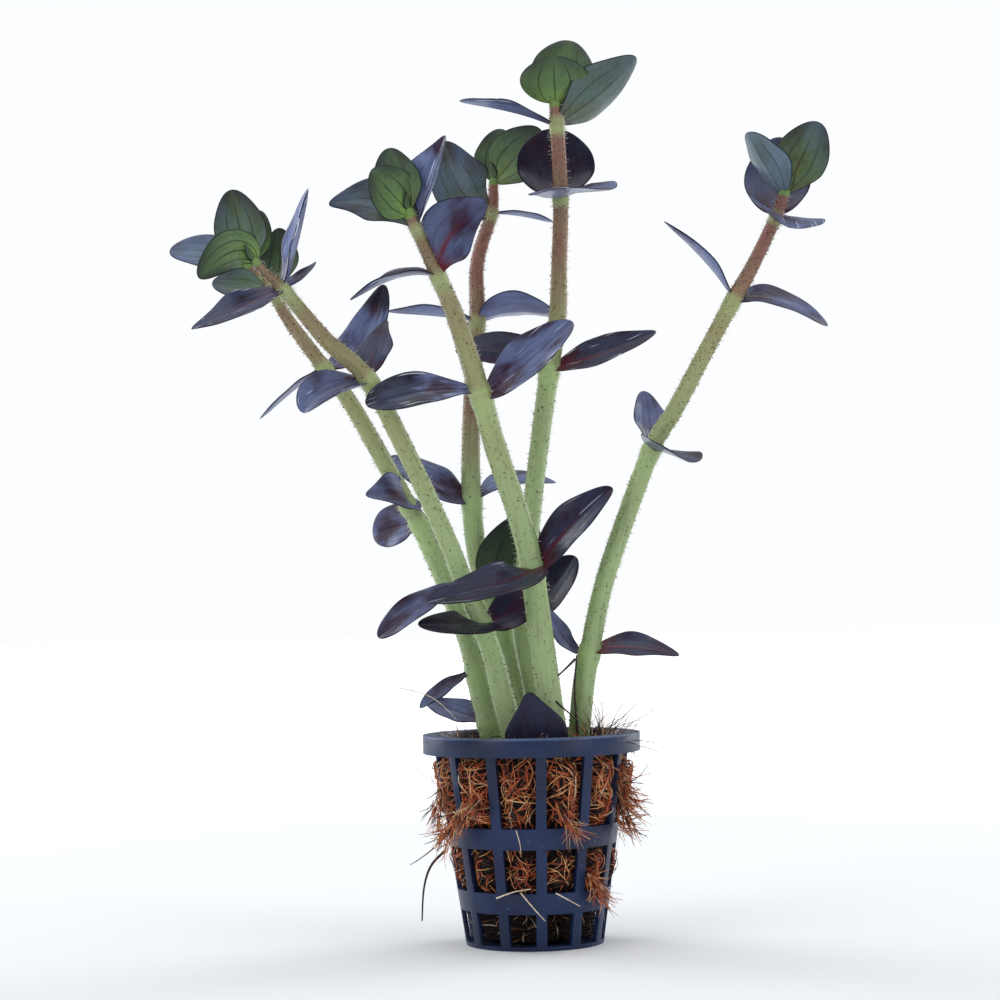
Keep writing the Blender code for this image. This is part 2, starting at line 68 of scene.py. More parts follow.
def smoothRoute(points, step):
    # points about a step apart on a smooth curve through the given ones
    knots = [Vector(point) for point in points]
    route = []
    for index in range(len(knots) - 1):
        before = knots[max(index - 1, 0)]
        start, end = knots[index], knots[index + 1]
        after = knots[min(index + 2, len(knots) - 1)]
        count = max(1, round((end - start).length / step))
        for part in range(count):
            route.append(curveBetween(before, start, end, after, part / count))
    route.append(knots[-1])
    return route


def curveBetween(before, start, end, after, part):
    leave = (end - before) * 0.5
    arrive = (after - start) * 0.5
    cube, square = part ** 3, part ** 2
    return (start * (2 * cube - 3 * square + 1) + leave * (cube - 2 * square + part)
            + end * (3 * square - 2 * cube) + arrive * (cube - square))


def ease(low, high, value):
    # 0 below low, 1 above high and smooth between
    part = min(1.0, max(0.0, (value - low) / (high - low)))
    return part * part * (3.0 - 2.0 * part)


def node(tree, kind, inputs=None, **settings):
    made = tree.nodes.new("ShaderNode" + kind)
    for key, value in settings.items():
        setattr(made, key, value)
    for key, value in (inputs or {}).items():
        if isinstance(value, bpy.types.NodeSocket):
            tree.links.new(value, made.inputs[key])
        else:
            made.inputs[key].default_value = value
    return made


def maths(tree, operation, first, second=0.0):
    return node(tree, "Math", {0: first, 1: second}, operation=operation).outputs[0]


def times(tree, first, second):
    return maths(tree, "MULTIPLY", first, second)


def plus(tree, first, second):
    return maths(tree, "ADD", first, second)


def apart(tree, first, second):
    return maths(tree, "ABSOLUTE", maths(tree, "SUBTRACT", first, second))


def fade(tree, value, low, high, start=0.0, end=1.0):
    made = node(tree, "MapRange", {"Value": value, "From Min": low, "From Max": high, "To Min": start,
                                   "To Max": end}, interpolation_type="SMOOTHSTEP")
    return made.outputs["Result"]


def blendColour(tree, factor, first, second):
    made = node(tree, "Mix", {0: factor, 6: first, 7: second}, data_type="RGBA")
    return made.outputs[2]


def noise(tree, where, scale, detail=2.0, rough=0.5):
    made = node(tree, "TexNoise", {"Vector": where, "Scale": scale, "Detail": detail, "Roughness": rough})
    return made.outputs["Fac"]


def attribute(tree, name):
    return node(tree, "Attribute", attribute_name=name).outputs["Vector"]


def split(tree, where):
    made = node(tree, "SeparateXYZ", {0: where})
    return made.outputs[0], made.outputs[1], made.outputs[2]


def stretched(tree, where, scale):
    return node(tree, "VectorMath", {0: where, 1: scale}, operation="MULTIPLY").outputs[0]


def bumped(tree, shader, height, depth, strength=1.0):
    made = node(tree, "Bump", {"Height": height, "Distance": depth, "Strength": strength})
    tree.links.new(made.outputs[0], shader.inputs["Normal"])


def newMaterial(name, **sockets):
    made = bpy.data.materials.new(name)
    made.use_nodes = True
    tree = made.node_tree
    shader = tree.nodes["Principled BSDF"]
    for key, value in sockets.items():
        shader.inputs[key.replace("_", " ")].default_value = value
    return made, tree, shader


def rgb(red, green, blue):
    # a colour as the eye reads it, 0 to 255, turned into the linear one that shaders take
    def linear(level):
        level = level / 255.0
        return level / 12.92 if level <= 0.04045 else ((level + 0.055) / 1.055) ** 2.4
    return (linear(red), linear(green), linear(blue), 1.0)


# Camera, at the photograph's viewing angle

cameraView = {"x": -6.17, "distance": 600.0, "height": 81.55, "tilt": 0.03378, "roll": -0.019, "lens": 93.5}


def setCamera():
    look = cameraView
    forward = Vector((0.0, math.cos(look["tilt"]), math.sin(look["tilt"])))
    level = Vector((1.0, 0.0, 0.0))
    above = level.cross(forward)
    right = level * math.cos(look["roll"]) + above * math.sin(look["roll"])
    top = above * math.cos(look["roll"]) - level * math.sin(look["roll"])
    turn = Matrix((right, top, -forward)).transposed().to_4x4()
    data = bpy.data.cameras.new("camera")
    data.lens = look["lens"]
    data.clip_start = 0.01
    camera = bpy.data.objects.new("camera", data)
    place = Vector((look["x"], -look["distance"], look["height"])) * mm
    camera.matrix_world = Matrix.Translation(place) @ turn
    bpy.context.scene.collection.objects.link(camera)
    bpy.context.scene.camera = camera


setCamera()
print("camera set")


# Leaf skin: one way of shading for all leaves, in two finishes

# Leaf colours. The blue sheen colour among them is a painted reflection, laid into the colour
leafSkin = {
    "deep": rgb(19, 16, 33), "plum": rgb(50, 28, 44), "paintedSheen": rgb(128, 141, 188), "under": rgb(108, 119, 160),
    "moss": rgb(98, 124, 76), "mossDark": rgb(58, 68, 56), "glow": rgb(142, 174, 88),
    "red": rgb(106, 24, 36), "edge": rgb(7, 6, 10), "vein": rgb(16, 10, 18), "gleam": rgb(222, 230, 246),
}


def makeLeafSkin(name, look, roughness):
    made, tree, shader = newMaterial(name, Specular_IOR_Level=0.16, Coat_Weight=0.12, Coat_Roughness=0.12,
                                     Sheen_Weight=0.03, Sheen_Roughness=0.4)
    shader.inputs["Sheen Tint"].default_value = (0.62, 0.74, 1.0, 1.0)
    shader.inputs["Specular Tint"].default_value = (0.62, 0.7, 1.0, 1.0)
    rel, along, half = split(tree, attribute(tree, "leafPlace"))
    side, length, rise = split(tree, attribute(tree, "leafLay"))
    green, pale, red = split(tree, attribute(tree, "leafTone"))
    dark, gleam, tipDark = split(tree, attribute(tree, "leafMood"))
    lay = attribute(tree, "leafLay")
    streaks = noise(tree, stretched(tree, lay, (1.5, 0.13, 0.3)), 1.0, 2.0, 0.5)
    clouds = noise(tree, stretched(tree, lay, (0.16, 0.11, 0.3)), 1.0, 2.0)
    blots = noise(tree, stretched(tree, lay, (0.5, 0.4, 0.3)), 1.0, 3.0, 0.6)
    grain = noise(tree, stretched(tree, lay, (4.5, 3.5, 1.0)), 1.0, 2.0)
    relSize = maths(tree, "ABSOLUTE", rel)
    # the upper side: aubergine with a painted blue sheen, or green that darkens towards tip and edges
    purple = blendColour(tree, fade(tree, clouds, 0.4, 0.62), look["deep"], look["plum"])
    # painted sheen: a blue reflection laid into the colour in broad clouds and faint streaks, more on paler
    # leaves
    paintedSheenShare = plus(tree, fade(tree, clouds, 0.66, 0.38, 0.0, 0.75), fade(tree, streaks, 0.4, 0.7, 0.0, 0.15))
    paintedSheenShare = times(tree, paintedSheenShare, plus(tree, pale, 0.04))
    purple = blendColour(tree, paintedSheenShare, purple, look["paintedSheen"])
    reach = plus(tree, along, times(tree, relSize, 0.35))
    moss = blendColour(tree, fade(tree, reach, 0.55, 1.25), look["moss"], look["mossDark"])
    # lighter yellow-green towards the foot: partly the young leaf's own colour and partly painted light
    # shining through the blade
    moss = blendColour(tree, fade(tree, reach, 0.62, 0.12, 0.0, 0.75), moss, look["glow"])
    moss = blendColour(tree, fade(tree, blots, 0.5, 0.75, 0.0, 0.5), moss, look["mossDark"])
    top = blendColour(tree, green, purple, moss)
    # the underside, paler and bluer on pale leaves, with faint streaks of painted sheen
    paleUnder = blendColour(tree, fade(tree, clouds, 0.35, 0.65, 0.0, 0.5), look["under"], look["plum"])
    paleUnder = blendColour(tree, fade(tree, streaks, 0.42, 0.7, 0.0, 0.2), paleUnder, look["paintedSheen"])
    paleUnder = blendColour(tree, green, paleUnder, look["moss"])
    under = blendColour(tree, plus(tree, pale, 0.1), top, paleUnder)
    colour = blendColour(tree, fade(tree, rise, -0.15, 0.15), under, top)
    # red midribs and feet, dark veins, tip and margin
    sideSize = maths(tree, "ABSOLUTE", side)
    nearRib = fade(tree, sideSize, 1.1, 0.2, 0.0, 0.8)
    ribRed = times(tree, nearRib, fade(tree, along, 0.85, 0.3))
    redness = maths(tree, "MAXIMUM", fade(tree, along, 0.36, 0.04), ribRed)
    colour = blendColour(tree, times(tree, redness, red), colour, look["red"])
    rib = fade(tree, sideSize, 0.3, 0.08)
    arcs = apart(tree, relSize, 0.46)
    arcs = fade(tree, times(tree, arcs, half), 0.26, 0.06)
    outer = apart(tree, relSize, 0.76)
    outer = fade(tree, times(tree, outer, half), 0.18, 0.04, 0.0, 0.4)
    herring = plus(tree, times(tree, length, 0.42), times(tree, sideSize, -0.34))
    herring = apart(tree, maths(tree, "FRACT", herring), 0.5)
    herring = fade(tree, herring, 0.09, 0.01, 0.0, 0.35)
    veins = maths(tree, "MAXIMUM", maths(tree, "MAXIMUM", rib, arcs), maths(tree, "MAXIMUM", outer, herring))
    veins = times(tree, veins, fade(tree, along, 0.98, 0.6))
    shown = plus(tree, 0.3, times(tree, green, 0.35))
    colour = blendColour(tree, times(tree, veins, shown), colour, look["vein"])
    colour = blendColour(tree, times(tree, dark, 0.85), colour, look["deep"])
    ends = plus(tree, plus(tree, along, tipDark), times(tree, streaks, 0.3))
    colour = blendColour(tree, fade(tree, ends, 1.13, 1.25, 0.0, 0.8), colour, look["edge"])
    inward = times(tree, maths(tree, "SUBTRACT", 1.0, relSize), half)
    colour = blendColour(tree, fade(tree, inward, 0.42, 0.1, 0.0, 0.85), colour, look["edge"])
    # painted highlights: thin white glints along the blade and along its margin, on the few leaves that carry
    # them
    paintedGlints = fade(tree, noise(tree, stretched(tree, lay, (1.9, 0.07, 0.3)), 1.0, 1.0), 0.66, 0.71)
    patches = noise(tree, stretched(tree, lay, (0.3, 0.13, 0.3)), 1.0, 1.0)
    paintedGlints = times(tree, paintedGlints, fade(tree, patches, 0.48, 0.56))
    rim = apart(tree, inward, 0.62)
    rim = times(tree, fade(tree, rim, 0.16, 0.05), fade(tree, patches, 0.42, 0.34))
    paintedGlints = maths(tree, "MAXIMUM", paintedGlints, rim)
    colour = blendColour(tree, times(tree, paintedGlints, gleam), colour, look["gleam"])
    tree.links.new(colour, shader.inputs["Base Color"])
    tree.links.new(fade(tree, blots, 0.3, 0.7, roughness - 0.08, roughness + 0.1), shader.inputs["Roughness"])
    height = plus(tree, times(tree, streaks, 0.8), times(tree, grain, 0.08))
    height = maths(tree, "SUBTRACT", height, times(tree, veins, 0.3))
    bumped(tree, shader, height, 0.0003, 0.28)
    return made


plumLeaf = makeLeafSkin("plumLeaf", leafSkin, 0.3)
youngLeaf = makeLeafSkin("youngLeaf", leafSkin, 0.36)

# What a leaf has where its row says nothing else. Lengths are in millimetres, the rest are shares
leafForm = {"thickness": 0.6, "neck": 0.45, "widest": 0.5, "point": 0.15, "fold": 0.25, "lead": 0.4,
            "wave": 0.2, "ripples": 2.2, "curl": 0.0, "roll": 0.0, "size": 1.0, "dark": 0.0, "gleam": 0.0,
            "tipDark": 0.0, "groove": 0.2, "grooveWidth": 0.45, "vein": 0.06, "veinAt": 0.46,
            "veinWidth": 0.35, "sunk": 1.4}

leafMesh = {"sides": 32, "rings": 40}

# How green, how pale and how red each kind of leaf is. The pale share also sets how much painted blue sheen a
# leaf carries
leafTones = {"night": (0.0, 0.05, 0.3), "plum": (0.0, 0.25, 0.4), "wine": (0.0, 0.15, 1.0),
             "dusk": (0.35, 0.45, 0.2), "slate": (0.0, 0.62, 0.2), "pale": (0.0, 1.0, 0.1),
             "mist": (0.4, 0.85, 0.0), "berry": (0.0, 0.42, 1.0), "moss": (0.8, 0.15, 0.2),
             "olive": (0.62, 0.45, 0.25), "young": (1.0, 0.05, 0.0)}


def leafSheet():
    bm = bmesh.new()
    names = ("leafPlace", "leafLay", "leafTone", "leafMood")
    return bm, {name: bm.verts.layers.float_vector.new(name) for name in names}


def growLeaf(bm, layers, foot, leaf, seed):
    look = {**leafForm, **leaf}
    foot, tip, face = Vector(foot), Vector(look["tip"]), Vector(look["face"])
    size, width, phase = look["size"], look["width"], random.Random(seed).uniform(0, 6.28)
    span = (tip - foot).length
    bend = foot + Vector(look["out"]).normalized() * span * look["lead"]
    ball = bmesh.ops.create_uvsphere(bm, u_segments=leafMesh["sides"], v_segments=leafMesh["rings"],
                                     radius=1.0)
    for vert in ball["verts"]:
        along = (1.0 - vert.co.z) / 2
        ring = max(math.hypot(vert.co.x, vert.co.y), 0.0001)
        side, rise = vert.co.x, vert.co.y
        rel, relRise = side / ring, rise / ring
        middle = foot.lerp(bend, along).lerp(bend.lerp(tip, along), along)
        forward = (bend - foot).lerp(tip - bend, along).normalized()
        normal = (face - forward * face.dot(forward)).normalized()
        across = forward.cross(normal)
        opening = look["neck"] + (1.0 - look["neck"]) * ease(0.0, look["widest"], along)
        half = width / 2 * opening * (1.0 - look["point"] * ease(0.55, 1.0, along))
        place = side * half
        edge = abs(rel) ** 3 * ring
        lift = look["fold"] * half * abs(side) ** 1.7
        ripple = along * look["ripples"] * 6.28 + phase + (1.4 if side > 0 else 0.0)
        lift += look["wave"] * edge * math.sin(ripple)
        lift -= look["groove"] * size * ring ** 0.5 * math.exp(-(place / look["grooveWidth"]) ** 2)
        fromVein = (abs(rel) - look["veinAt"]) * half * ring / look["veinWidth"]
        lift -= look["vein"] * size * math.exp(-fromVein ** 2) * ring
        lift -= look["curl"] * span * max(0.0, along - 0.5) ** 2
        lift -= look["roll"] * half * max(0.0, abs(side) - 0.55) ** 2 * 3.0
        body = math.copysign(abs(relRise) ** 0.7, relRise) * min(1.0, ring * 1.5)
        body = body * look["thickness"] / 2 * size
        vert.co = middle + across * place + normal * (body + lift)
        vert[layers["leafPlace"]] = (rel, along, half * ring)
        vert[layers["leafLay"]] = (place, along * span + seed * 7.3 % 50.0, relRise)
        vert[layers["leafTone"]] = leafTones[look["tone"]]
        vert[layers["leafMood"]] = (look["dark"], look["gleam"], look["tipDark"])


# Stems

stems = {
    "left": {"seed": 1, "red": 0.1, "redFrom": 0.8, "band": 0.5, "points": (
        (-1.0, -2.5, 36.6, 2.75), (-6.2, -4.0, 56.0, 2.65), (-8.9, -4.8, 67.3, 2.4),
        (-15.2, -6.8, 84.0, 2.25), (-19.0, -8.0, 94.0, 2.15), (-27.6, -11.0, 113.5, 2.1),
        (-35.8, -14.0, 129.5, 2.05),
        (-44.8, -17.0, 138.2, 1.8), (-54.0, -20.0, 149.5, 1.4), (-57.0, -21.5, 152.3, 0.95),
        (-59.4, -23.0, 155.0, 0.85))},
    "left_back": {"seed": 2, "red": 0.25, "redFrom": 0.7, "band": 0.5, "points": (
        (-6.8, 4.5, 36.6, 2.4), (-11.2, 5.0, 55.7, 2.5), (-15.0, 6.0, 71.5, 2.25),
        (-24.2, 8.0, 94.5, 2.15), (-28.7, 9.0, 102.9, 2.15), (-40.3, 11.0, 124.5, 1.95),
        (-47.4, 12.0, 134.5, 1.8), (-55.7, 13.5, 146.2, 1.45), (-59.3, 14.0, 152.8, 1.4),
        (-64.9, 14.5, 158.8, 1.0))},
    "front": {"seed": 3, "red": 0.35, "redFrom": 0.86, "band": 0.45, "points": (
        (6.9, -8.0, 36.6, 2.8), (4.0, -8.0, 58.1, 2.9), (0.9, -9.0, 85.0, 2.75), (-1.7, -10.0, 97.0, 2.6),
        (-6.8, -11.5, 113.0, 2.5), (-10.3, -13.0, 126.1, 2.4), (-15.2, -15.0, 142.3, 2.1),
        (-19.3, -16.5, 152.3, 1.75), (-21.7, -17.3, 157.6, 1.45), (-25.2, -18.5, 165.8, 1.4))},
    "back": {"seed": 4, "red": 1.0, "redFrom": 0.45, "band": 0.45, "points": (
        (3.2, 9.0, 36.6, 2.1), (-2.3, 9.6, 57.0, 2.25), (-6.5, 11.0, 73.0, 2.3), (-11.4, 14.0, 87.5, 2.35),
        (-12.9, 17.0, 103.7, 2.3), (-12.5, 20.0, 124.7, 2.05), (-10.8, 23.0, 146.0, 1.95),
        (-10.5, 25.0, 160.0, 1.7), (-6.8, 27.0, 172.5, 1.5), (-6.3, 27.5, 179.6, 1.1))},
    "tall": {"seed": 5, "red": 0.85, "redFrom": 0.62, "band": 0.6, "points": (
        (3.7, 2.0, 36.6, 2.1), (0.4, 2.5, 58.0, 2.15), (-1.9, 4.0, 75.0, 2.2), (0.9, 5.5, 97.0, 2.2),
        (2.6, 6.0, 110.3, 2.2), (6.0, 8.0, 132.7, 2.3), (8.1, 9.0, 144.5, 2.1), (8.8, 9.5, 157.5, 1.85),
        (9.5, 10.0, 173.6, 1.75), (8.9, 10.0, 191.3, 1.6), (8.7, 10.0, 195.2, 1.4))},
    "right": {"seed": 6, "red": 0.95, "redFrom": 0.72, "band": 0.45, "points": (
        (9.9, -1.0, 36.6, 2.4), (12.1, -1.5, 57.8, 2.5), (13.9, -2.0, 67.0, 2.35),
        (16.4, -2.5, 78.5, 2.15), (20.0, -3.5, 89.9, 2.15), (28.9, -5.0, 112.7, 2.1),
        (34.4, -6.0, 121.7, 1.95), (41.9, -7.0, 135.2, 1.85), (48.4, -8.0, 146.8, 1.8),
        (52.8, -8.5, 154.3, 1.6), (58.4, -9.0, 165.5, 1.4), (60.1, -9.0, 170.2, 1.15))},
}

stemForm = {"step": 1.1, "sides": 22, "nodeSwell": 0.13, "nodeWidth": 1.5, "furrow": 0.035, "waist": 0.05,
            "bandLeast": 3.0, "bandMore": 8.0, "bandFrom": 165.0, "bandTo": 120.0}

stemSkin = {"low": rgb(156, 178, 124), "mid": rgb(148, 146, 100), "top": rgb(124, 104, 78),
            "red": rgb(130, 80, 72), "node": rgb(166, 196, 126), "speck": rgb(30, 22, 20),
            "streak": rgb(108, 92, 70)}


def makeStemSkin():
    made, tree, shader = newMaterial("stemSkin", Specular_IOR_Level=0.4, Coat_Weight=0.15,
                                     Coat_Roughness=0.35, Subsurface_Weight=0.12, Subsurface_Scale=0.002)
    look = stemSkin
    lay = attribute(tree, "stemLay")
    height, band, red = split(tree, attribute(tree, "stemPlace"))
    streaks = noise(tree, stretched(tree, lay, (1.6, 1.6, 0.09)), 1.0, 3.0, 0.6)
    clouds = noise(tree, stretched(tree, lay, (0.3, 0.3, 0.12)), 1.0, 2.0)
    colour = blendColour(tree, fade(tree, height, 0.4, 0.82), look["low"], look["mid"])
    colour = blendColour(tree, fade(tree, height, 0.72, 1.0), colour, look["top"])
    colour = blendColour(tree, times(tree, red, fade(tree, clouds, 0.2, 0.7, 0.55, 1.0)), colour, look["red"])
    colour = blendColour(tree, fade(tree, streaks, 0.52, 0.8, 0.0, 0.55), colour, look["streak"])
    colour = blendColour(tree, band, colour, look["node"])
    spread = stretched(tree, lay, (0.62, 0.62, 0.5))
    dots = node(tree, "TexVoronoi", {"Vector": spread, "Scale": 1.0}, feature="F1")
    speck = fade(tree, dots.outputs["Distance"], 0.16, 0.1)
    some = fade(tree, noise(tree, lay, 0.35, 1.0), 0.44, 0.56)
    colour = blendColour(tree, times(tree, times(tree, speck, some), 0.85), colour, look["speck"])
    tree.links.new(colour, shader.inputs["Base Color"])
    tree.links.new(fade(tree, clouds, 0.2, 0.8, 0.36, 0.56), shader.inputs["Roughness"])
    fine = noise(tree, stretched(tree, lay, (3.2, 3.2, 1.6)), 1.0, 2.0)
    bumped(tree, shader, plus(tree, streaks, times(tree, fine, 0.4)), 0.0002, 0.7)
    return made


stemMaterial = makeStemSkin()


def nearestNode(heights, height):
    # signed distance up the stem from the nearest node, below it negative
    gaps = [height - level for level in heights]
    return min(gaps, key=abs)


def growStem(name):
    look, plant = stemForm, stems[name]
    route = smoothRoute(plant["points"], look["step"])
    levels = [leaf["node"] for leaf in leaves[name].values()]
    bm = bmesh.new()
    lay = bm.verts.layers.float_vector.new("stemLay")
    mark = bm.verts.layers.float_vector.new("stemPlace")
    turn = up.rotation_difference((route[1] - route[0]).xyz)
    ring = bmesh.ops.create_circle(bm, segments=look["sides"], radius=1.0)["verts"]
    spokes = {vert: vert.co.copy() for vert in ring}
    edges = list({edge for vert in ring for edge in vert.link_edges})
    length, bottom, top = 0.0, route[0].z, route[-1].z
    phase = random.Random(name).uniform(0, 6.28)
    for index, spot in enumerate(route):
        if index:
            ahead = (route[min(index + 1, len(route) - 1)] - route[index - 1]).xyz
            turn = (turn @ up).rotation_difference(ahead) @ turn
            length += (spot - route[index - 1]).xyz.length
            grown = bmesh.ops.extrude_edge_only(bm, edges=edges)["geom"]
            fresh = [item for item in grown if isinstance(item, bmesh.types.BMVert)]
            old = {tuple(round(c, 5) for c in vert.co): spokes[vert] for vert in ring}
            spokes = {vert: old[tuple(round(c, 5) for c in vert.co)] for vert in fresh}
            ring = fresh
            edges = [item for item in grown if isinstance(item, bmesh.types.BMEdge)
                     and all(vert in spokes for vert in item.verts)]
        gap = nearestNode(levels, spot.z)
        swell = 1.0 + look["nodeSwell"] * math.exp(-((gap + 0.4) / look["nodeWidth"]) ** 2)
        swell -= look["waist"] * math.exp(-((gap - 1.9) / 0.9) ** 2)
        part = (spot.z - bottom) / (top - bottom)
        reach = look["bandLeast"] + look["bandMore"] * ease(look["bandFrom"], look["bandTo"], spot.z)
        band = ease(-reach, -1.5, gap) * ease(0.9, -0.3, gap) if gap < 0.9 else 0.0
        for vert, spoke in spokes.items():
            angle = math.atan2(spoke.y, spoke.x)
            furrows = 1.0 + look["furrow"] * math.sin(angle * 5 + phase + length * 0.02)
            radius = spot.w * swell * furrows
            vert.co = spot.xyz + turn @ (spoke * radius)
            vert[lay] = (spoke.x * spot.w + plant["seed"] * 9.0, spoke.y * spot.w, length)
            red = plant["red"] * ease(plant["redFrom"], plant["redFrom"] + 0.2, part)
            vert[mark] = (part, band * plant["band"], red)
    bmesh.ops.holes_fill(bm, edges=bm.edges, sides=0)
    bmesh.ops.recalc_face_normals(bm, faces=bm.faces)
    return keep(bm, "stem_" + name + "_skin", stemMaterial, ("stem_" + name,))


def stemAt(name, height):
    # the middle of a stem at a height, the way it runs and its radius
    route = smoothRoute(stems[name]["points"], 1.0)
    for low, high in zip(route, route[1:]):
        if low.z <= height <= high.z:
            spot = low.lerp(high, (height - low.z) / (high.z - low.z))
            return spot.xyz, (high - low).xyz.normalized(), spot.w
    return route[-1].xyz, (route[-1] - route[-2]).xyz.normalized(), route[-1].w


# Leaves, by the stem that carries them

def blade(height, out, tip, face, width, tone, **more):
    # height of its node, the way it leaves, its tip, the way its upper face looks, its width and its tone
    return {"node": height, "out": out, "tip": tip, "face": face, "width": width, "tone": tone, **more}


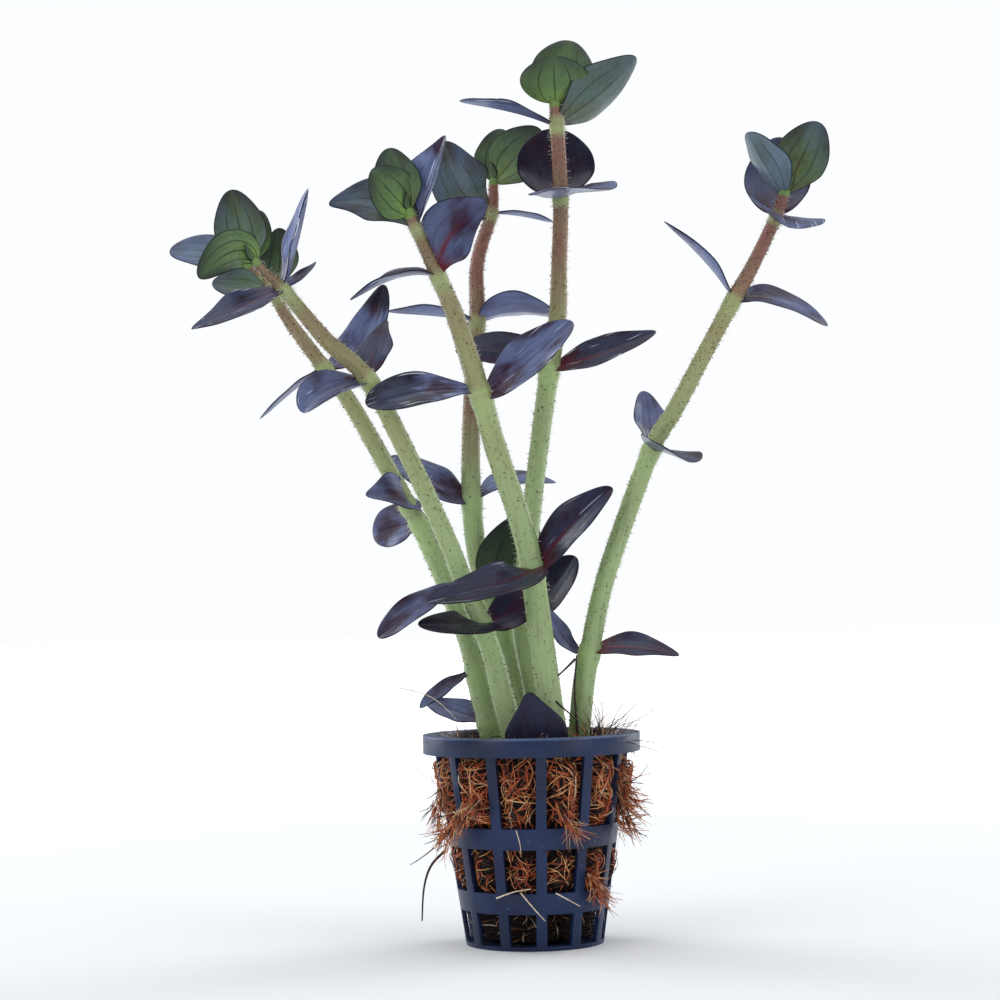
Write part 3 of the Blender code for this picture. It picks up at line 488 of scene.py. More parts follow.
leaves = {
    "left": {
        "1_upright": blade(149.5, (0.35, 0.1, 0.95), (-48.1, -18.0, 172.2), (-0.95, -0.3, 0.25), 11.0,
            "pale", fold=0.4, neck=0.55, point=0.3, gleam=0.9, widest=0.7),
        "1_low": blade(149.5, (-0.8, -0.4, -0.46), (-74.1, -24.0, 140.4), (-0.25, -0.62, 0.75), 11.6,
            "plum", neck=0.75, point=0.6, gleam=0.8, lead=0.45),
        "2_drooping": blade(129.0, (-0.9, -0.45, -0.2), (-49.5, -23.0, 121.3), (-0.35, -0.6, 0.75), 13.8,
            "slate", fold=0.45, neck=0.85, widest=0.4, gleam=0.7, lead=0.52),
        "2_upright": blade(129.5, (0.05, 0.6, 0.8), (-31.4, -4.0, 143.6), (-0.45, -0.9, 0.2), 9.6, "plum",
            neck=0.9, point=0.6, fold=0.05, dark=0.2),
        "3_low": blade(83.0, (-0.85, -0.4, -0.35), (-34.3, -12.0, 70.8), (-0.5, -0.62, 0.6), 10.4, "slate",
            neck=0.5, point=-0.1, lead=0.35, widest=0.8),
        "4_flat": blade(73.5, (0.15, -0.95, 0.0), (-25.2, -14.0, 73.7), (0.0, -0.42, 0.9), 13.4, "night",
            fold=0.06, wave=0.05, neck=0.9, point=0.0, dark=0.75),
    },
    "left_back": {
        "1_far": blade(156.1, (-0.6, 0.2, 0.78), (-84.0, 18.0, 163.3), (0.15, -0.85, 0.5), 10.8, "mist",
            neck=0.8, point=0.0, fold=0.1, lead=0.45),
        "1_near": blade(154.0, (0.6, 0.7, 0.4), (-58.4, 22.0, 169.0), (-0.3, -0.95, 0.3), 10.6, "moss",
            dark=0.35),
        "2_low": blade(152.8, (-0.5, -0.8, -0.1), (-72.4, 4.0, 153.6), (0.3, -0.75, 0.55), 11.4, "olive"),
        "3_upright": blade(134.5, (0.95, 0.3, 0.1), (-32.9, 16.0, 154.2), (-0.6, -0.75, 0.3), 13.4, "slate",
            tipDark=0.2, fold=0.08),
        "3_thin": blade(134.5, (-0.7, -0.1, -0.45), (-62.2, 8.0, 122.2), (-0.6, -0.02, 0.8), 8.0, "slate",
            fold=0.12, wave=0.1),
        "4_folded": blade(101.0, (0.0, -0.9, 0.65), (-37.1, -1.0, 103.5), (-0.1, -0.8, 0.6), 12.4, "slate",
            fold=0.3, point=0.5, neck=0.95),
        "4_round": blade(97.4, (-0.6, 0.8, 0.0), (-36.8, 21.0, 95.2), (-0.35, -0.95, 0.15), 10.2, "slate",
            neck=0.9, point=0.0),
        "5_narrow": blade(62.6, (-0.8, -0.35, -0.4), (-25.3, -4.0, 54.4), (-0.35, -0.75, 0.5), 5.2, "slate",
            neck=0.35, lead=0.35, widest=0.8),
        "6_low": blade(50.5, (-0.7, 0.7, 0.3), (-24.3, 14.0, 54.8), (0.0, -0.7, 0.7), 7.4, "slate"),
    },
    "front": {
        "1_left": blade(163.2, (-0.75, 0.1, 1.3), (-43.7, -14.0, 169.2), (0.1, -0.9, 0.4), 12.4, "dusk",
            fold=0.1, neck=0.6, point=0.45, lead=0.5),
        "1_right": blade(163.2, (0.3, 0.3, 0.9), (-17.0, -16.5, 183.9), (-0.8, -0.6, 0.25), 14.8, "pale",
            fold=0.55, neck=0.6, point=0.5, gleam=0.6),
        "2_right": blade(152.3, (0.02, -0.4, 1.0), (-6.9, -24.0, 166.3), (-0.35, -0.95, 0.25), 15.6,
            "berry", lead=0.52, curl=-0.5, point=0.35),
        "2_left": blade(152.3, (-0.95, -0.25, 0.3), (-39.3, -13.0, 147.4), (-0.25, -0.2, 0.95), 10.0,
            "plum", gleam=0.9, neck=0.8),
        "3_left": blade(126.4, (-0.9, -0.35, 0.14), (-35.7, -21.0, 122.9), (-0.1, -0.75, 0.65), 13.0,
            "pale", neck=0.38, widest=0.8, point=0.0, gleam=0.7, tipDark=0.5),
        "3_right": blade(124.6, (0.85, -0.2, 0.62), (11.0, -17.0, 141.0), (-0.4, -0.65, 0.6), 15.0, "slate",
            neck=0.75, point=0.1, gleam=0.6),
        "4_left": blade(86.0, (0.1, -0.95, -0.22), (-22.9, -21.0, 78.9), (-0.1, -0.6, 0.75), 12.8, "wine",
            neck=0.8, dark=0.6, gleam=0.25),
        "4_right": blade(85.0, (0.62, -0.3, 1.1), (19.3, -14.0, 103.6), (-0.5, -0.65, 0.5), 12.2, "wine",
            neck=0.8, dark=0.4, gleam=0.3),
    },
    "back": {
        "1_left": blade(172.5, (-0.95, -0.3, 0.25), (-18.0, 22.0, 189.3), (0.35, -0.9, 0.25), 16.8, "dusk",
            neck=0.6, lead=0.5),
        "1_right": blade(172.5, (0.9, 0.3, 0.08), (8.0, 33.0, 170.8), (0.0, -0.06, 1.0), 6.5, "pale",
            fold=0.15, wave=0.1),
        "2_left": blade(146.0, (-0.95, -0.1, 0.2), (-32.4, 20.0, 148.2), (0.1, 0.06, 1.0), 11.0, "pale"),
        "2_right": blade(146.0, (0.85, -0.1, 0.55), (7.8, 20.0, 146.8), (0.0, 0.3, 0.94), 14.6, "pale",
            neck=0.7, point=0.0),
        "3_left": blade(102.3, (-0.9, -0.35, 0.5), (-32.2, 18.0, 113.4), (0.35, -0.6, 0.7), 12.5, "slate",
            neck=0.85, fold=0.1),
        "3_right": blade(102.6, (0.9, 0.2, 0.8), (7.3, 22.0, 106.6), (-0.1, -0.35, 1.0), 12.5, "pale"),
        "4_right": blade(73.9, (0.8, 0.4, 0.12), (11.3, 17.0, 88.8), (-0.45, -0.65, 0.6), 17.2, "night",
            neck=0.7, point=0.1, dark=0.6),
    },
    "tall": {
        "1_right": blade(191.3, (0.8, 0.2, 0.45), (28.1, 12.0, 206.7), (-0.35, 0.62, 0.7), 15.6, "olive",
            neck=0.6, point=0.3, dark=0.3),
        "1_left": blade(190.3, (-0.9, 0.15, 0.5), (-14.0, 14.0, 197.3), (0.25, -0.08, 0.97), 12.0, "slate",
            gleam=0.8),
        "2_back": blade(173.6, (-0.1, 0.8, 0.5), (8.0, 22.0, 191.8), (0.0, -0.83, 0.56), 18.6, "night",
            neck=0.95, widest=0.3, point=0.0, dark=0.55),
        "2_front": blade(173.2, (-0.1, -0.95, 0.02), (20.6, -11.0, 171.8), (-0.13, -0.13, 0.98), 19.0,
            "slate", neck=0.9, widest=0.4, point=0.0, roll=0.3, gleam=0.55, lead=0.45),
        "3_right": blade(133.2, (0.95, -0.25, 0.08), (30.9, 3.0, 140.5), (-0.3, -0.55, 0.75), 12.8, "wine",
            neck=0.8, point=0.35, gleam=0.9, widest=0.6, dark=0.2),
        "3_left": blade(132.0, (-0.9, 0.2, 0.72), (-16.0, 12.0, 137.9), (0.3, -0.65, 0.7), 14.5, "night",
            neck=0.7),
        "4_left": blade(79.0, (-0.5, 0.6, 0.6), (0.5, 10.0, 98.7), (-0.1, -1.0, 0.2), 17.0, "moss",
            dark=0.6),
    },
    "right": {
        "1_back": blade(165.5, (0.1, 0.8, 0.6), (60.6, 4.0, 185.6), (-0.1, -0.83, 0.56), 15.4, "plum",
            neck=0.9, dark=0.15, widest=0.5),
        "1_front": blade(165.5, (0.1, -0.95, -0.1), (59.2, -25.0, 160.4), (0.34, -0.35, 0.88), 18.5,
            "slate", neck=0.7, gleam=0.5),
        "2_left": blade(146.8, (-0.5, -0.1, 0.85), (32.3, -12.0, 164.2), (0.75, -0.05, 0.64), 10.0, "pale",
            fold=0.25, wave=0.1, point=0.5, lead=0.45),
        "2_right": blade(146.3, (0.9, 0.1, 0.35), (69.8, -6.0, 140.2), (0.25, -0.5, 0.9), 11.4, "slate",
            neck=0.75, lead=0.35),
        "3_back": blade(112.7, (0.1, 0.85, 0.5), (28.2, 9.0, 127.1), (0.4, -0.85, 0.4), 9.4, "slate"),
        "3_front": blade(112.7, (0.35, -0.93, 0.0), (36.4, -21.0, 108.8), (0.35, -0.15, 0.93), 15.5,
            "plum"),
        "4_left": blade(66.3, (-0.9, 0.1, -0.15), (4.6, -1.0, 76.4), (0.4, -0.75, 0.5), 5.8, "slate",
            lead=0.35, neck=0.3, widest=0.8),
        "4_right": blade(67.0, (0.9, -0.2, 0.15), (34.1, -6.0, 65.4), (0.0, -0.45, 0.9), 11.2, "wine",
            neck=0.85, widest=0.35, point=0.5),
    },
}

# Two small leaves more, which stand for no node
smallLeaves = {
    "left": {
        "1_behind": blade(149.8, (0.9, 0.5, 0.2), (-46.9, -14.0, 156.2), (-0.5, -0.6, 0.6), 4.6, "pale",
            fold=0.4, point=0.5),
        "4_right": blade(73.5, (0.95, 0.3, 0.0), (2.4, -3.6, 81.6), (-0.3, -0.85, 0.4), 10.0, "night",
            neck=0.8, point=0.0),
    },
}


def leafFoot(stem, leaf):
    # a leaf grows out of its stem, so that its broad foot clasps it
    middle, along, radius = stemAt(stem, leaf["node"])
    out = Vector(leaf["out"])
    outward = (out - along * out.dot(along)).normalized()
    return middle + outward * (radius - leafForm["sunk"])


def growLeaves(table, seed, hasNodes):
    for stem, rows in table.items():
        for name, leaf in rows.items():
            bm, layers = leafSheet()
            growLeaf(bm, layers, leafFoot(stem, leaf), leaf, seed)
            whole = "leaf_" + stem + "_" + name
            keep(bm, whole + "_blade", plumLeaf, (whole,) if hasNodes else ())
            seed += 1


rimLeaf = {"foot": (1.8, -14.6, 40.0), "out": (-0.05, -0.1, 1.0), "tip": (-0.6, -17.0, 58.0),
           "face": (0.0, 0.97, 0.2), "width": 14.2, "neck": 1.0, "point": 0.5, "fold": 0.12, "wave": 0.05,
           "tone": "night", "dark": 0.6}


def growRimLeaf():
    bm, layers = leafSheet()
    growLeaf(bm, layers, rimLeaf["foot"], rimLeaf, 77)
    keep(bm, "leaf_low_front_blade", plumLeaf, ("leaf_low_front",))


# Shoot tips: the bud at the end of each stem, its youngest pair of leaves and two budding ones

shootTips = {
    "left": (
        {"tip": (-71.5, -30.0, 150.9), "out": (-0.5, -0.25, 0.85), "face": (0.1, -0.95, 0.15), "width": 9.6,
         "tone": "young", "lead": 0.5, "neck": 0.85, "dark": 0.15},
        {"tip": (-69.1, -18.0, 161.8), "face": (0.3, -0.9, 0.2), "width": 10.0, "tone": "young"}),
    "left_back": (
        {"tip": (-68.5, 12.5, 177.0), "face": (0.1, -1.0, 0.1), "width": 12.4, "tone": "olive"},
        {"tip": (-62.5, 19.0, 173.0), "face": (0.0, -1.0, 0.3), "width": 9.0, "tone": "young"}),
    "front": (
        {"tip": (-33.5, -24.0, 175.1), "face": (0.3, -0.9, 0.4), "width": 13.4, "tone": "young", "neck": 0.85,
         "fold": 0.1, "dark": 0.05},
        {"tip": (-29.6, -16.5, 181.3), "out": (-0.5, 0.0, 1.0), "face": (0.1, -1.0, 0.1), "width": 10.8,
         "tone": "moss"}),
    "back": (
        {"tip": (-4.5, 31.0, 193.6), "face": (-0.3, -1.0, 0.1), "width": 10.5, "tone": "moss"},
        {"tip": (5.2, 24.0, 192.2), "face": (-0.2, -1.0, 0.1), "width": 13.4, "tone": "moss"}),
    "tall": (
        {"tip": (8.2, 3.0, 205.5), "face": (0.0, 0.84, 0.55), "width": 16.2, "tone": "young", "neck": 0.95,
         "widest": 0.3, "dark": 0.16},
        {"tip": (12.5, 16.0, 211.8), "face": (0.0, -1.0, 0.3), "width": 14.8, "tone": "young", "neck": 0.85}),
    "right": (
        {"tip": (68.7, -7.0, 187.0), "face": (-0.15, -1.0, 0.1), "width": 12.6, "tone": "olive"},
        {"tip": (51.7, -14.0, 183.8), "face": (0.75, 0.5, 0.4), "width": 12.4, "tone": "mist", "neck": 0.8}),
}

budForm = {"radius": 1.08, "length": 1.8, "budLeaf": 5.2, "budWidth": 2.6, "footGap": 0.4}


def growShootTips():
    for number, (name, pair) in enumerate(shootTips.items(), 1):
        look = budForm
        spot = Vector(stems[name]["points"][-1][:3])
        before = Vector(stems[name]["points"][-2][:3])
        axis = (spot - before).normalized()
        bm, layers = leafSheet()
        turn = up.rotation_difference(axis).to_matrix().to_4x4()
        wide = stems[name]["points"][-1][3] * look["radius"]
        stretch = Matrix.Diagonal((wide, wide, look["length"], 1.0))
        bud = bmesh.ops.create_uvsphere(bm, u_segments=20, v_segments=14, radius=1.0,
                                        matrix=Matrix.Translation(spot) @ turn @ stretch)
        for vert in bud["verts"]:
            vert[layers["leafPlace"]] = (0.0, 0.2, 1.0)
            vert[layers["leafLay"]] = (0.6, 2.0, 1.0)
            vert[layers["leafTone"]] = leafTones["young"]
        ways = []
        for index, leaf in enumerate(pair):
            way = (Vector(leaf["tip"]) - spot).normalized()
            ways.append(way)
            young = {"out": way, "neck": 0.6, "widest": 0.42, **leaf}
            foot = spot + Vector(young["out"]).normalized() * look["footGap"]
            growLeaf(bm, layers, foot, young, 200 + number * 2 + index)
        cross = ways[0].cross(ways[1]).normalized()
        for index, turned in enumerate((cross, -cross)):
            out = (axis + turned * 0.35).normalized()
            small = {"out": out, "tip": spot + out * look["budLeaf"], "face": -turned,
                     "width": look["budWidth"], "tone": "young", "fold": 0.5, "wave": 0.0, "size": 0.35}
            growLeaf(bm, layers, spot + turned * 0.3, small, 300 + number * 2 + index)
        keep(bm, "shoot_tip_" + name + "_leaves", youngLeaf, ("shoot_tip_" + name,))


for stemName in stems:
    growStem(stemName)
print("stems grown")
growLeaves(leaves, 1, True)
growLeaves(smallLeaves, 101, False)
growRimLeaf()
growShootTips()
print("leaves grown")


# Fine hairs along the stems

stemHair = {"from": 47.0, "nodeReach": 5.0,
            "fuzz": {"many": 38.0, "few": 6.5, "length": (0.4, 1.2), "thickness": 0.06},
            "stub": {"many": 3.0, "few": 6.0, "length": (0.28, 0.5), "thickness": 0.14}}


def makeHairFinish(name, first, second):
    made, tree, shader = newMaterial(name, Roughness=0.4, Specular_IOR_Level=0.5)
    where = node(tree, "TexCoord").outputs["Object"]
    colour = blendColour(tree, fade(tree, noise(tree, where, 300.0), 0.35, 0.65), first, second)
    tree.links.new(colour, shader.inputs["Base Color"])
    return made


fuzzMaterial = makeHairFinish("stemFuzz", rgb(240, 244, 234), rgb(190, 196, 168))
stubMaterial = makeHairFinish("stemStubs", rgb(44, 32, 26), rgb(92, 74, 44))


def growHairs(name, kind, material):
    look, chance = stemHair[kind], random.Random(kind + name)
    route = [spot for spot in smoothRoute(stems[name]["points"], 0.5) if spot.z > stemHair["from"]]
    levels = [leaf["node"] for leaf in leaves[name].values()]
    bm = bmesh.new()
    for low, high in zip(route, route[1:]):
        along = (high - low).xyz
        sideways = along.cross(Vector((0, 1, 0))).normalized()
        inward = along.cross(sideways).normalized()
        gap = nearestNode(levels, low.z)
        near = ease(-stemHair["nodeReach"], -0.8, gap) if gap < 0.6 else 0.0
        dense = look["few"] + (look["many"] - look["few"]) * near
        for _ in range(int(dense * along.length + chance.random())):
            angle = chance.uniform(0, 2 * math.pi)
            spoke = sideways * math.cos(angle) + inward * math.sin(angle)
            spot = low.lerp(high, chance.random())
            long = chance.uniform(*look["length"])
            way = (spoke + along.normalized() * chance.uniform(-0.5, 0.5)).normalized()
            place = Matrix.Translation(spot.xyz + spoke * spot.w * 0.98 + way * long / 2)
            turn = up.rotation_difference(way).to_matrix().to_4x4()
            bmesh.ops.create_cone(bm, cap_ends=True, segments=3, radius1=look["thickness"], radius2=0.008,
                                  depth=long, matrix=place @ turn)
    keep(bm, "stem_" + name + "_" + kind, material)


for stemName in stems:
    growHairs(stemName, "fuzz", fuzzMaterial)
    growHairs(stemName, "stub", stubMaterial)
print("hairs grown")


# The net pot

pot = {"height": 48.0, "wall": 1.1, "baseRadius": 15.8, "neckRadius": 22.7, "rimRadius": 25.0,
       "rimSkirt": 4.2, "slotRows": ((0.95, 8.3), (13.0, 22.9), (27.6, 43.6)), "baseSlots": (5.5, 12.5),
       "ribs": 12,
       "ribWidth": 2.4, "frontRib": -85.2, "ribColumns": 2, "slotColumns": 5, "edge": 0.24}

potPlastic = {"slate": rgb(26, 46, 87), "deep": rgb(16, 29, 59), "dustAndHighlight": rgb(112, 130, 166),
              # the inside colour is painted shade for the inner wall of the rim
              "inside": rgb(9, 12, 22)}


def makePotPlastic():
    made, tree, shader = newMaterial("potPlastic", Specular_IOR_Level=0.35)
    look = potPlastic
    where = node(tree, "TexCoord").outputs["Object"]
    clouds = noise(tree, where, 70.0, 3.0)
    grain = noise(tree, where, 900.0, 3.0)
    scratches = noise(tree, stretched(tree, where, (500.0, 500.0, 3200.0)), 1.0, 2.0)
    colour = blendColour(tree, fade(tree, clouds, 0.3, 0.7), look["deep"], look["slate"])
    colour = blendColour(tree, fade(tree, grain, 0.66, 0.78, 0.0, 0.35), colour, look["dustAndHighlight"])
    colour = blendColour(tree, fade(tree, scratches, 0.74, 0.82, 0.0, 0.3), colour, look["dustAndHighlight"])
    # painted shade: dark inside the rim, where the skirt's inner wall lies in shade
    level = stretched(tree, where, (1.0, 1.0, 0.0))
    flat = node(tree, "VectorMath", {0: level}, operation="LENGTH").outputs[1]
    rise = split(tree, where)[2]
    skirtInside, skirtFoot = pot["rimRadius"] - pot["wall"], pot["height"] - pot["rimSkirt"]
    inside = fade(tree, flat, (skirtInside + 0.05) * mm, (skirtInside - 0.2) * mm)
    inside = times(tree, inside, fade(tree, rise, (skirtFoot - 0.4) * mm, skirtFoot * mm))
    colour = blendColour(tree, inside, colour, look["inside"])
    # painted highlight: a pale line laid along the lip of the rim, in the same pale colour as the dust and
    # scratches
    lip = fade(tree, rise, (pot["height"] - 0.6) * mm, (pot["height"] - 0.1) * mm, 0.0, 0.6)
    lip = times(tree, lip, fade(tree, clouds, 0.3, 0.6, 0.35, 1.0))
    colour = blendColour(tree, lip, colour, look["dustAndHighlight"])
    tree.links.new(colour, shader.inputs["Base Color"])
    tree.links.new(fade(tree, clouds, 0.2, 0.8, 0.32, 0.46), shader.inputs["Roughness"])
    bumped(tree, shader, plus(tree, grain, scratches), 0.00008, 0.5)
    return made


potMaterial = makePotPlastic()


def wallRadius(height):
    ledge = pot["height"] - pot["wall"]
    return pot["baseRadius"] + (pot["neckRadius"] - pot["baseRadius"]) * height / ledge


def potPitch():
    return 360.0 / pot["ribs"]


def slotPlace(point):
    # how far a point is from the middle of its slot, in degrees, and from its edge, in millimetres
    turn = (math.degrees(math.atan2(point.y, point.x)) - pot["frontRib"]) / potPitch()
    radius = max(math.hypot(point.x, point.y), 0.1)
    fromRib = abs(turn - round(turn)) * potPitch()
    return math.radians(fromRib) * radius - pot["ribWidth"] / 2, math.floor(turn) % pot["ribs"]


def spinColumns(vert, columns):
    # turns the even columns of a spun shape so that the ribs keep one width
    radius = math.hypot(vert.co.x, vert.co.y)
    if radius < 1.0:
        return
    step = round(math.degrees(math.atan2(vert.co.y, vert.co.x)) / (potPitch() / columns))
    half = min(math.degrees(pot["ribWidth"] / 2 / radius), potPitch() / 4)
    ribPart, slotPart = pot["ribColumns"], pot["slotColumns"]
    inside = step % columns
    if inside <= ribPart:
        within = -half + 2 * half * inside / ribPart
    else:
        within = half + (potPitch() - 2 * half) * (inside - ribPart) / slotPart
    angle = math.radians(pot["frontRib"] + potPitch() * (step // columns) + within)
    vert.co.x = radius * math.cos(angle)
    vert.co.y = radius * math.sin(angle)


def spun(profile, steps):
    bm = bmesh.new()
    verts = [bm.verts.new((radius, 0.0, height)) for radius, height in profile]
    edges = [bm.edges.new(pair) for pair in zip(verts, verts[1:])]
    bmesh.ops.spin(bm, geom=verts + edges, cent=(0, 0, 0), axis=(0, 0, 1), dvec=(0, 0, 0), angle=2 * math.pi,
                   steps=steps, use_merge=True, use_duplicate=False)
    bmesh.ops.remove_doubles(bm, verts=bm.verts, dist=0.001)
    bmesh.ops.recalc_face_normals(bm, faces=bm.faces)
    return bm


def isPotHole(centre):
    radius = math.hypot(centre.x, centre.y)
    if slotPlace(centre)[0] < 0:
        return False
    if centre.z < 0.01:
        return pot["baseSlots"][0] < radius < pot["baseSlots"][1]
    return radius < pot["neckRadius"] and any(low < centre.z < high for low, high in pot["slotRows"])


def makePot():
    skirtFoot, ledge = pot["height"] - pot["rimSkirt"], pot["height"] - pot["wall"]
    skirtInside = pot["rimRadius"] - pot["wall"]
    levels = [edge for row in pot["slotRows"] for edge in row]
    profile = [(0.0, 0.0), (pot["baseSlots"][0], 0.0), (pot["baseSlots"][1], 0.0), (pot["baseRadius"], 0.0)]
    profile += [(wallRadius(height), height) for height in levels]
    profile += [(pot["neckRadius"], ledge), (skirtInside, ledge), (skirtInside, skirtFoot)]
    columns = pot["ribColumns"] + pot["slotColumns"]
    bm = spun(profile, pot["ribs"] * columns)
    for vert in bm.verts:
        spinColumns(vert, columns)
    foot = next(face for face in bm.faces if face.calc_center_median().z < 0.01)
    if foot.normal.z > 0:
        bmesh.ops.reverse_faces(bm, faces=bm.faces)
    holes = [face for face in bm.faces if isPotHole(face.calc_center_median())]
    bmesh.ops.delete(bm, geom=holes, context="FACES")
    piece = keep(bm, "net_pot", potMaterial, ("pot",))
    wall = piece.modifiers.new("wall", "SOLIDIFY")
    wall.thickness = pot["wall"] * mm
    wall.offset = -1.0
    wall.use_even_offset = True
    edges = piece.modifiers.new("edges", "BEVEL")
    edges.width = pot["edge"] * mm
    edges.segments = 2
    edges.limit_method = "ANGLE"
    edges.angle_limit = math.radians(40)


makePot()
print("pot made")


# Coir: a dark core, and strands that run over it, out of the slots and up past the rim. The core's near-black
# is partly the damp coir's own colour and partly painted shade in the gaps between fibres

coir = {"gap": 0.35, "margin": 0.5, "core": 1.3, "floor": 1.6, "top": 44.3,
        "bulges": (-2.0, 0.4, 1.1), "columns": 144, "rows": 64, "step": 0.9, "topSpread": 20.0,
        "topReach": 20.6,
        "rimReach": 20.3, "rimFoot": 44.0}


def coirReach(angle, height):
    # how far out the coir may stand at a place on the wall
    inner = wallRadius(height) - pot["wall"] - coir["gap"]
    point = Vector((math.cos(angle), math.sin(angle), 0.0)) * wallRadius(height)
    margin, slot = slotPlace(point)
    for number, (low, high) in enumerate(pot["slotRows"]):
        if low < height < high and margin > 0:
            clear = min(margin, height - low, high - height)
            swell = coir["bulges"][number]
            if swell < 0:
                return inner + swell
            swell *= 1.0 + 0.45 * math.sin(slot * 2.3 + number * 1.7)
            opened = ease(coir["margin"], coir["margin"] + 2.2, clear)
            return inner + (pot["wall"] + coir["gap"] + swell) * opened
    return inner


def makeCoirFinish(name, first, second, third, roughness=0.6):
    made, tree, shader = newMaterial(name, Specular_IOR_Level=0.4)
    where = node(tree, "TexCoord").outputs["Object"]
    clouds = noise(tree, where, 420.0, 3.0, 0.6)
    fine = noise(tree, where, 2600.0, 2.0)
    colour = blendColour(tree, fade(tree, clouds, 0.38, 0.62), first, second)
    colour = blendColour(tree, fade(tree, fine, 0.55, 0.72), colour, third)
    tree.links.new(colour, shader.inputs["Base Color"])
    tree.links.new(fade(tree, fine, 0.3, 0.7, roughness - 0.1, roughness + 0.15), shader.inputs["Roughness"])
    bumped(tree, shader, fine, 0.00015, 0.8)
    return made


# near-black core: partly the damp coir's own colour and partly painted shade in the deep gaps between the
# strands
coirCore = makeCoirFinish("coirCore", rgb(22, 14, 14), rgb(44, 24, 18), rgb(12, 9, 11), 0.8)
coirRed = makeCoirFinish("coirRed", rgb(156, 66, 36), rgb(198, 102, 58), rgb(84, 34, 22))
coirTan = makeCoirFinish("coirTan", rgb(198, 126, 74), rgb(232, 180, 126), rgb(136, 70, 40), 0.5)
coirDark = makeCoirFinish("coirDark", rgb(30, 20, 22), rgb(58, 32, 26), rgb(14, 11, 16), 0.45)
coirPale = makeCoirFinish("coirPale", rgb(224, 200, 168), rgb(244, 232, 214), rgb(180, 140, 104), 0.35)


def makeCore():
    bottom, top, rows = coir["floor"], coir["top"], coir["rows"]
    profile = [(0.0, bottom), (8.0, bottom)]
    profile += [(10.0, bottom + (top - bottom) * row / rows) for row in range(rows + 1)]
    profile += [(radius, top) for radius in (8.0, 6.0, 4.0, 2.0, 0.0)]
    bm = spun(profile, coir["columns"])
    chance = random.Random(5)
    for vert in bm.verts:
        angle, radius = math.atan2(vert.co.y, vert.co.x), math.hypot(vert.co.x, vert.co.y)
        reach = coirReach(angle, vert.co.z) - coir["core"] - chance.uniform(0.0, 0.5)
        vert.co.x, vert.co.y = vert.co.x * reach / 10.0, vert.co.y * reach / 10.0
        if vert.co.z > coir["top"] - 0.1:
            vert.co.z += chance.uniform(-0.8, 0.5) - (0.6 if radius > 9 else 0.0)
    keep(bm, "coir_core", coirCore, ("growing_medium",))


def strandPiece(name, strands, material, sides=0):
    # one mesh from many fine tapering tubes, each a list of points with a radius
    data = bpy.data.curves.new(name, "CURVE")
    data.dimensions = "3D"
    data.bevel_depth = mm
    data.bevel_resolution = sides
    data.use_fill_caps = True
    for strand in strands:
        spline = data.splines.new("POLY")
        spline.points.add(len(strand) - 1)
        for knot, (spot, radius) in zip(spline.points, strand):
            knot.co = (spot.x * mm, spot.y * mm, spot.z * mm, 1.0)
            knot.radius = radius
    holder = bpy.data.objects.new(name + "_line", data)
    bpy.context.scene.collection.objects.link(holder)
    mesh = bpy.data.meshes.new_from_object(holder.evaluated_get(bpy.context.evaluated_depsgraph_get()))
    bpy.data.objects.remove(holder, do_unlink=True)
    bpy.data.curves.remove(data)
    bm = bmesh.new()
    bm.from_mesh(mesh)
    bmesh.ops.remove_doubles(bm, verts=bm.verts, dist=0.000001)
    bmesh.ops.recalc_face_normals(bm, faces=bm.faces)
    bm.to_mesh(mesh)
    bm.free()
    mesh.name = name
    mesh.shade_smooth()
    return keepMesh(mesh, name, material)


def wallStrand(chance, angle, height, length, thickness, out):
    # a strand that wanders over the coir's surface
    heading = chance.uniform(0, 2 * math.pi)
    curl = chance.choice((-0.3, 0.3)) if chance.random() < 0.15 else chance.gauss(0, 0.09)
    step = coir["step"]
    count = max(3, int(length / step))
    depth = chance.uniform(0.0, 0.9)
    strand = []
    for index in range(count):
        part = index / (count - 1)
        height = min(max(height, 1.9), 44.0)
        reach = coirReach(angle, height) - depth + out * math.sin(part * math.pi)
        spot = Vector((math.cos(angle) * reach, math.sin(angle) * reach, height))
        strand.append((spot, thickness * (0.35 + 0.65 * math.sin(math.pi * min(0.95, part + 0.05)) ** 0.5)))
        angle += math.cos(heading) * step / reach
        height += math.sin(heading) * step
        heading += curl + chance.gauss(0, 0.09)
        depth = max(0.0, depth + chance.gauss(0, 0.12))
    return strand


def wallStrands(seed, count, rows, length, thickness, out):
    chance = random.Random(seed)
    strands = []
    while len(strands) < count:
        row = chance.choice(rows)
        low, high = pot["slotRows"][row]
        height = chance.uniform(low + 0.4, high - 0.4)
        angle = chance.uniform(0, 2 * math.pi)
        point = Vector((math.cos(angle), math.sin(angle), 0.0)) * wallRadius(height)
        if slotPlace(point)[0] < 0.4:
            continue
        long, thick = chance.uniform(*length), chance.uniform(*thickness)
        strands.append(wallStrand(chance, angle, height, long, thick, chance.uniform(*out)))
    return strands


def looseStrand(chance, start, way, length, thickness, curl, droop=0.0):
    # a strand that stands free from where it leaves the coir
    spot, way = Vector(start), Vector(way).normalized()
    side = way.orthogonal().normalized()
    side.rotate(Matrix.Rotation(chance.uniform(0, 2 * math.pi), 3, way))
    count = max(4, int(length / coir["step"]))
    strand = []
    for index in range(count):
        part = index / (count - 1)
        strand.append((spot.copy(), thickness * (1.0 - 0.65 * part)))
        way = (way + side * curl * 0.9 + Vector((0, 0, -droop)) * 0.9
               + Vector((chance.gauss(0, 1), chance.gauss(0, 1), chance.gauss(0, 1))) * 0.035).normalized()
        spot = spot + way * length / (count - 1)
    return strand


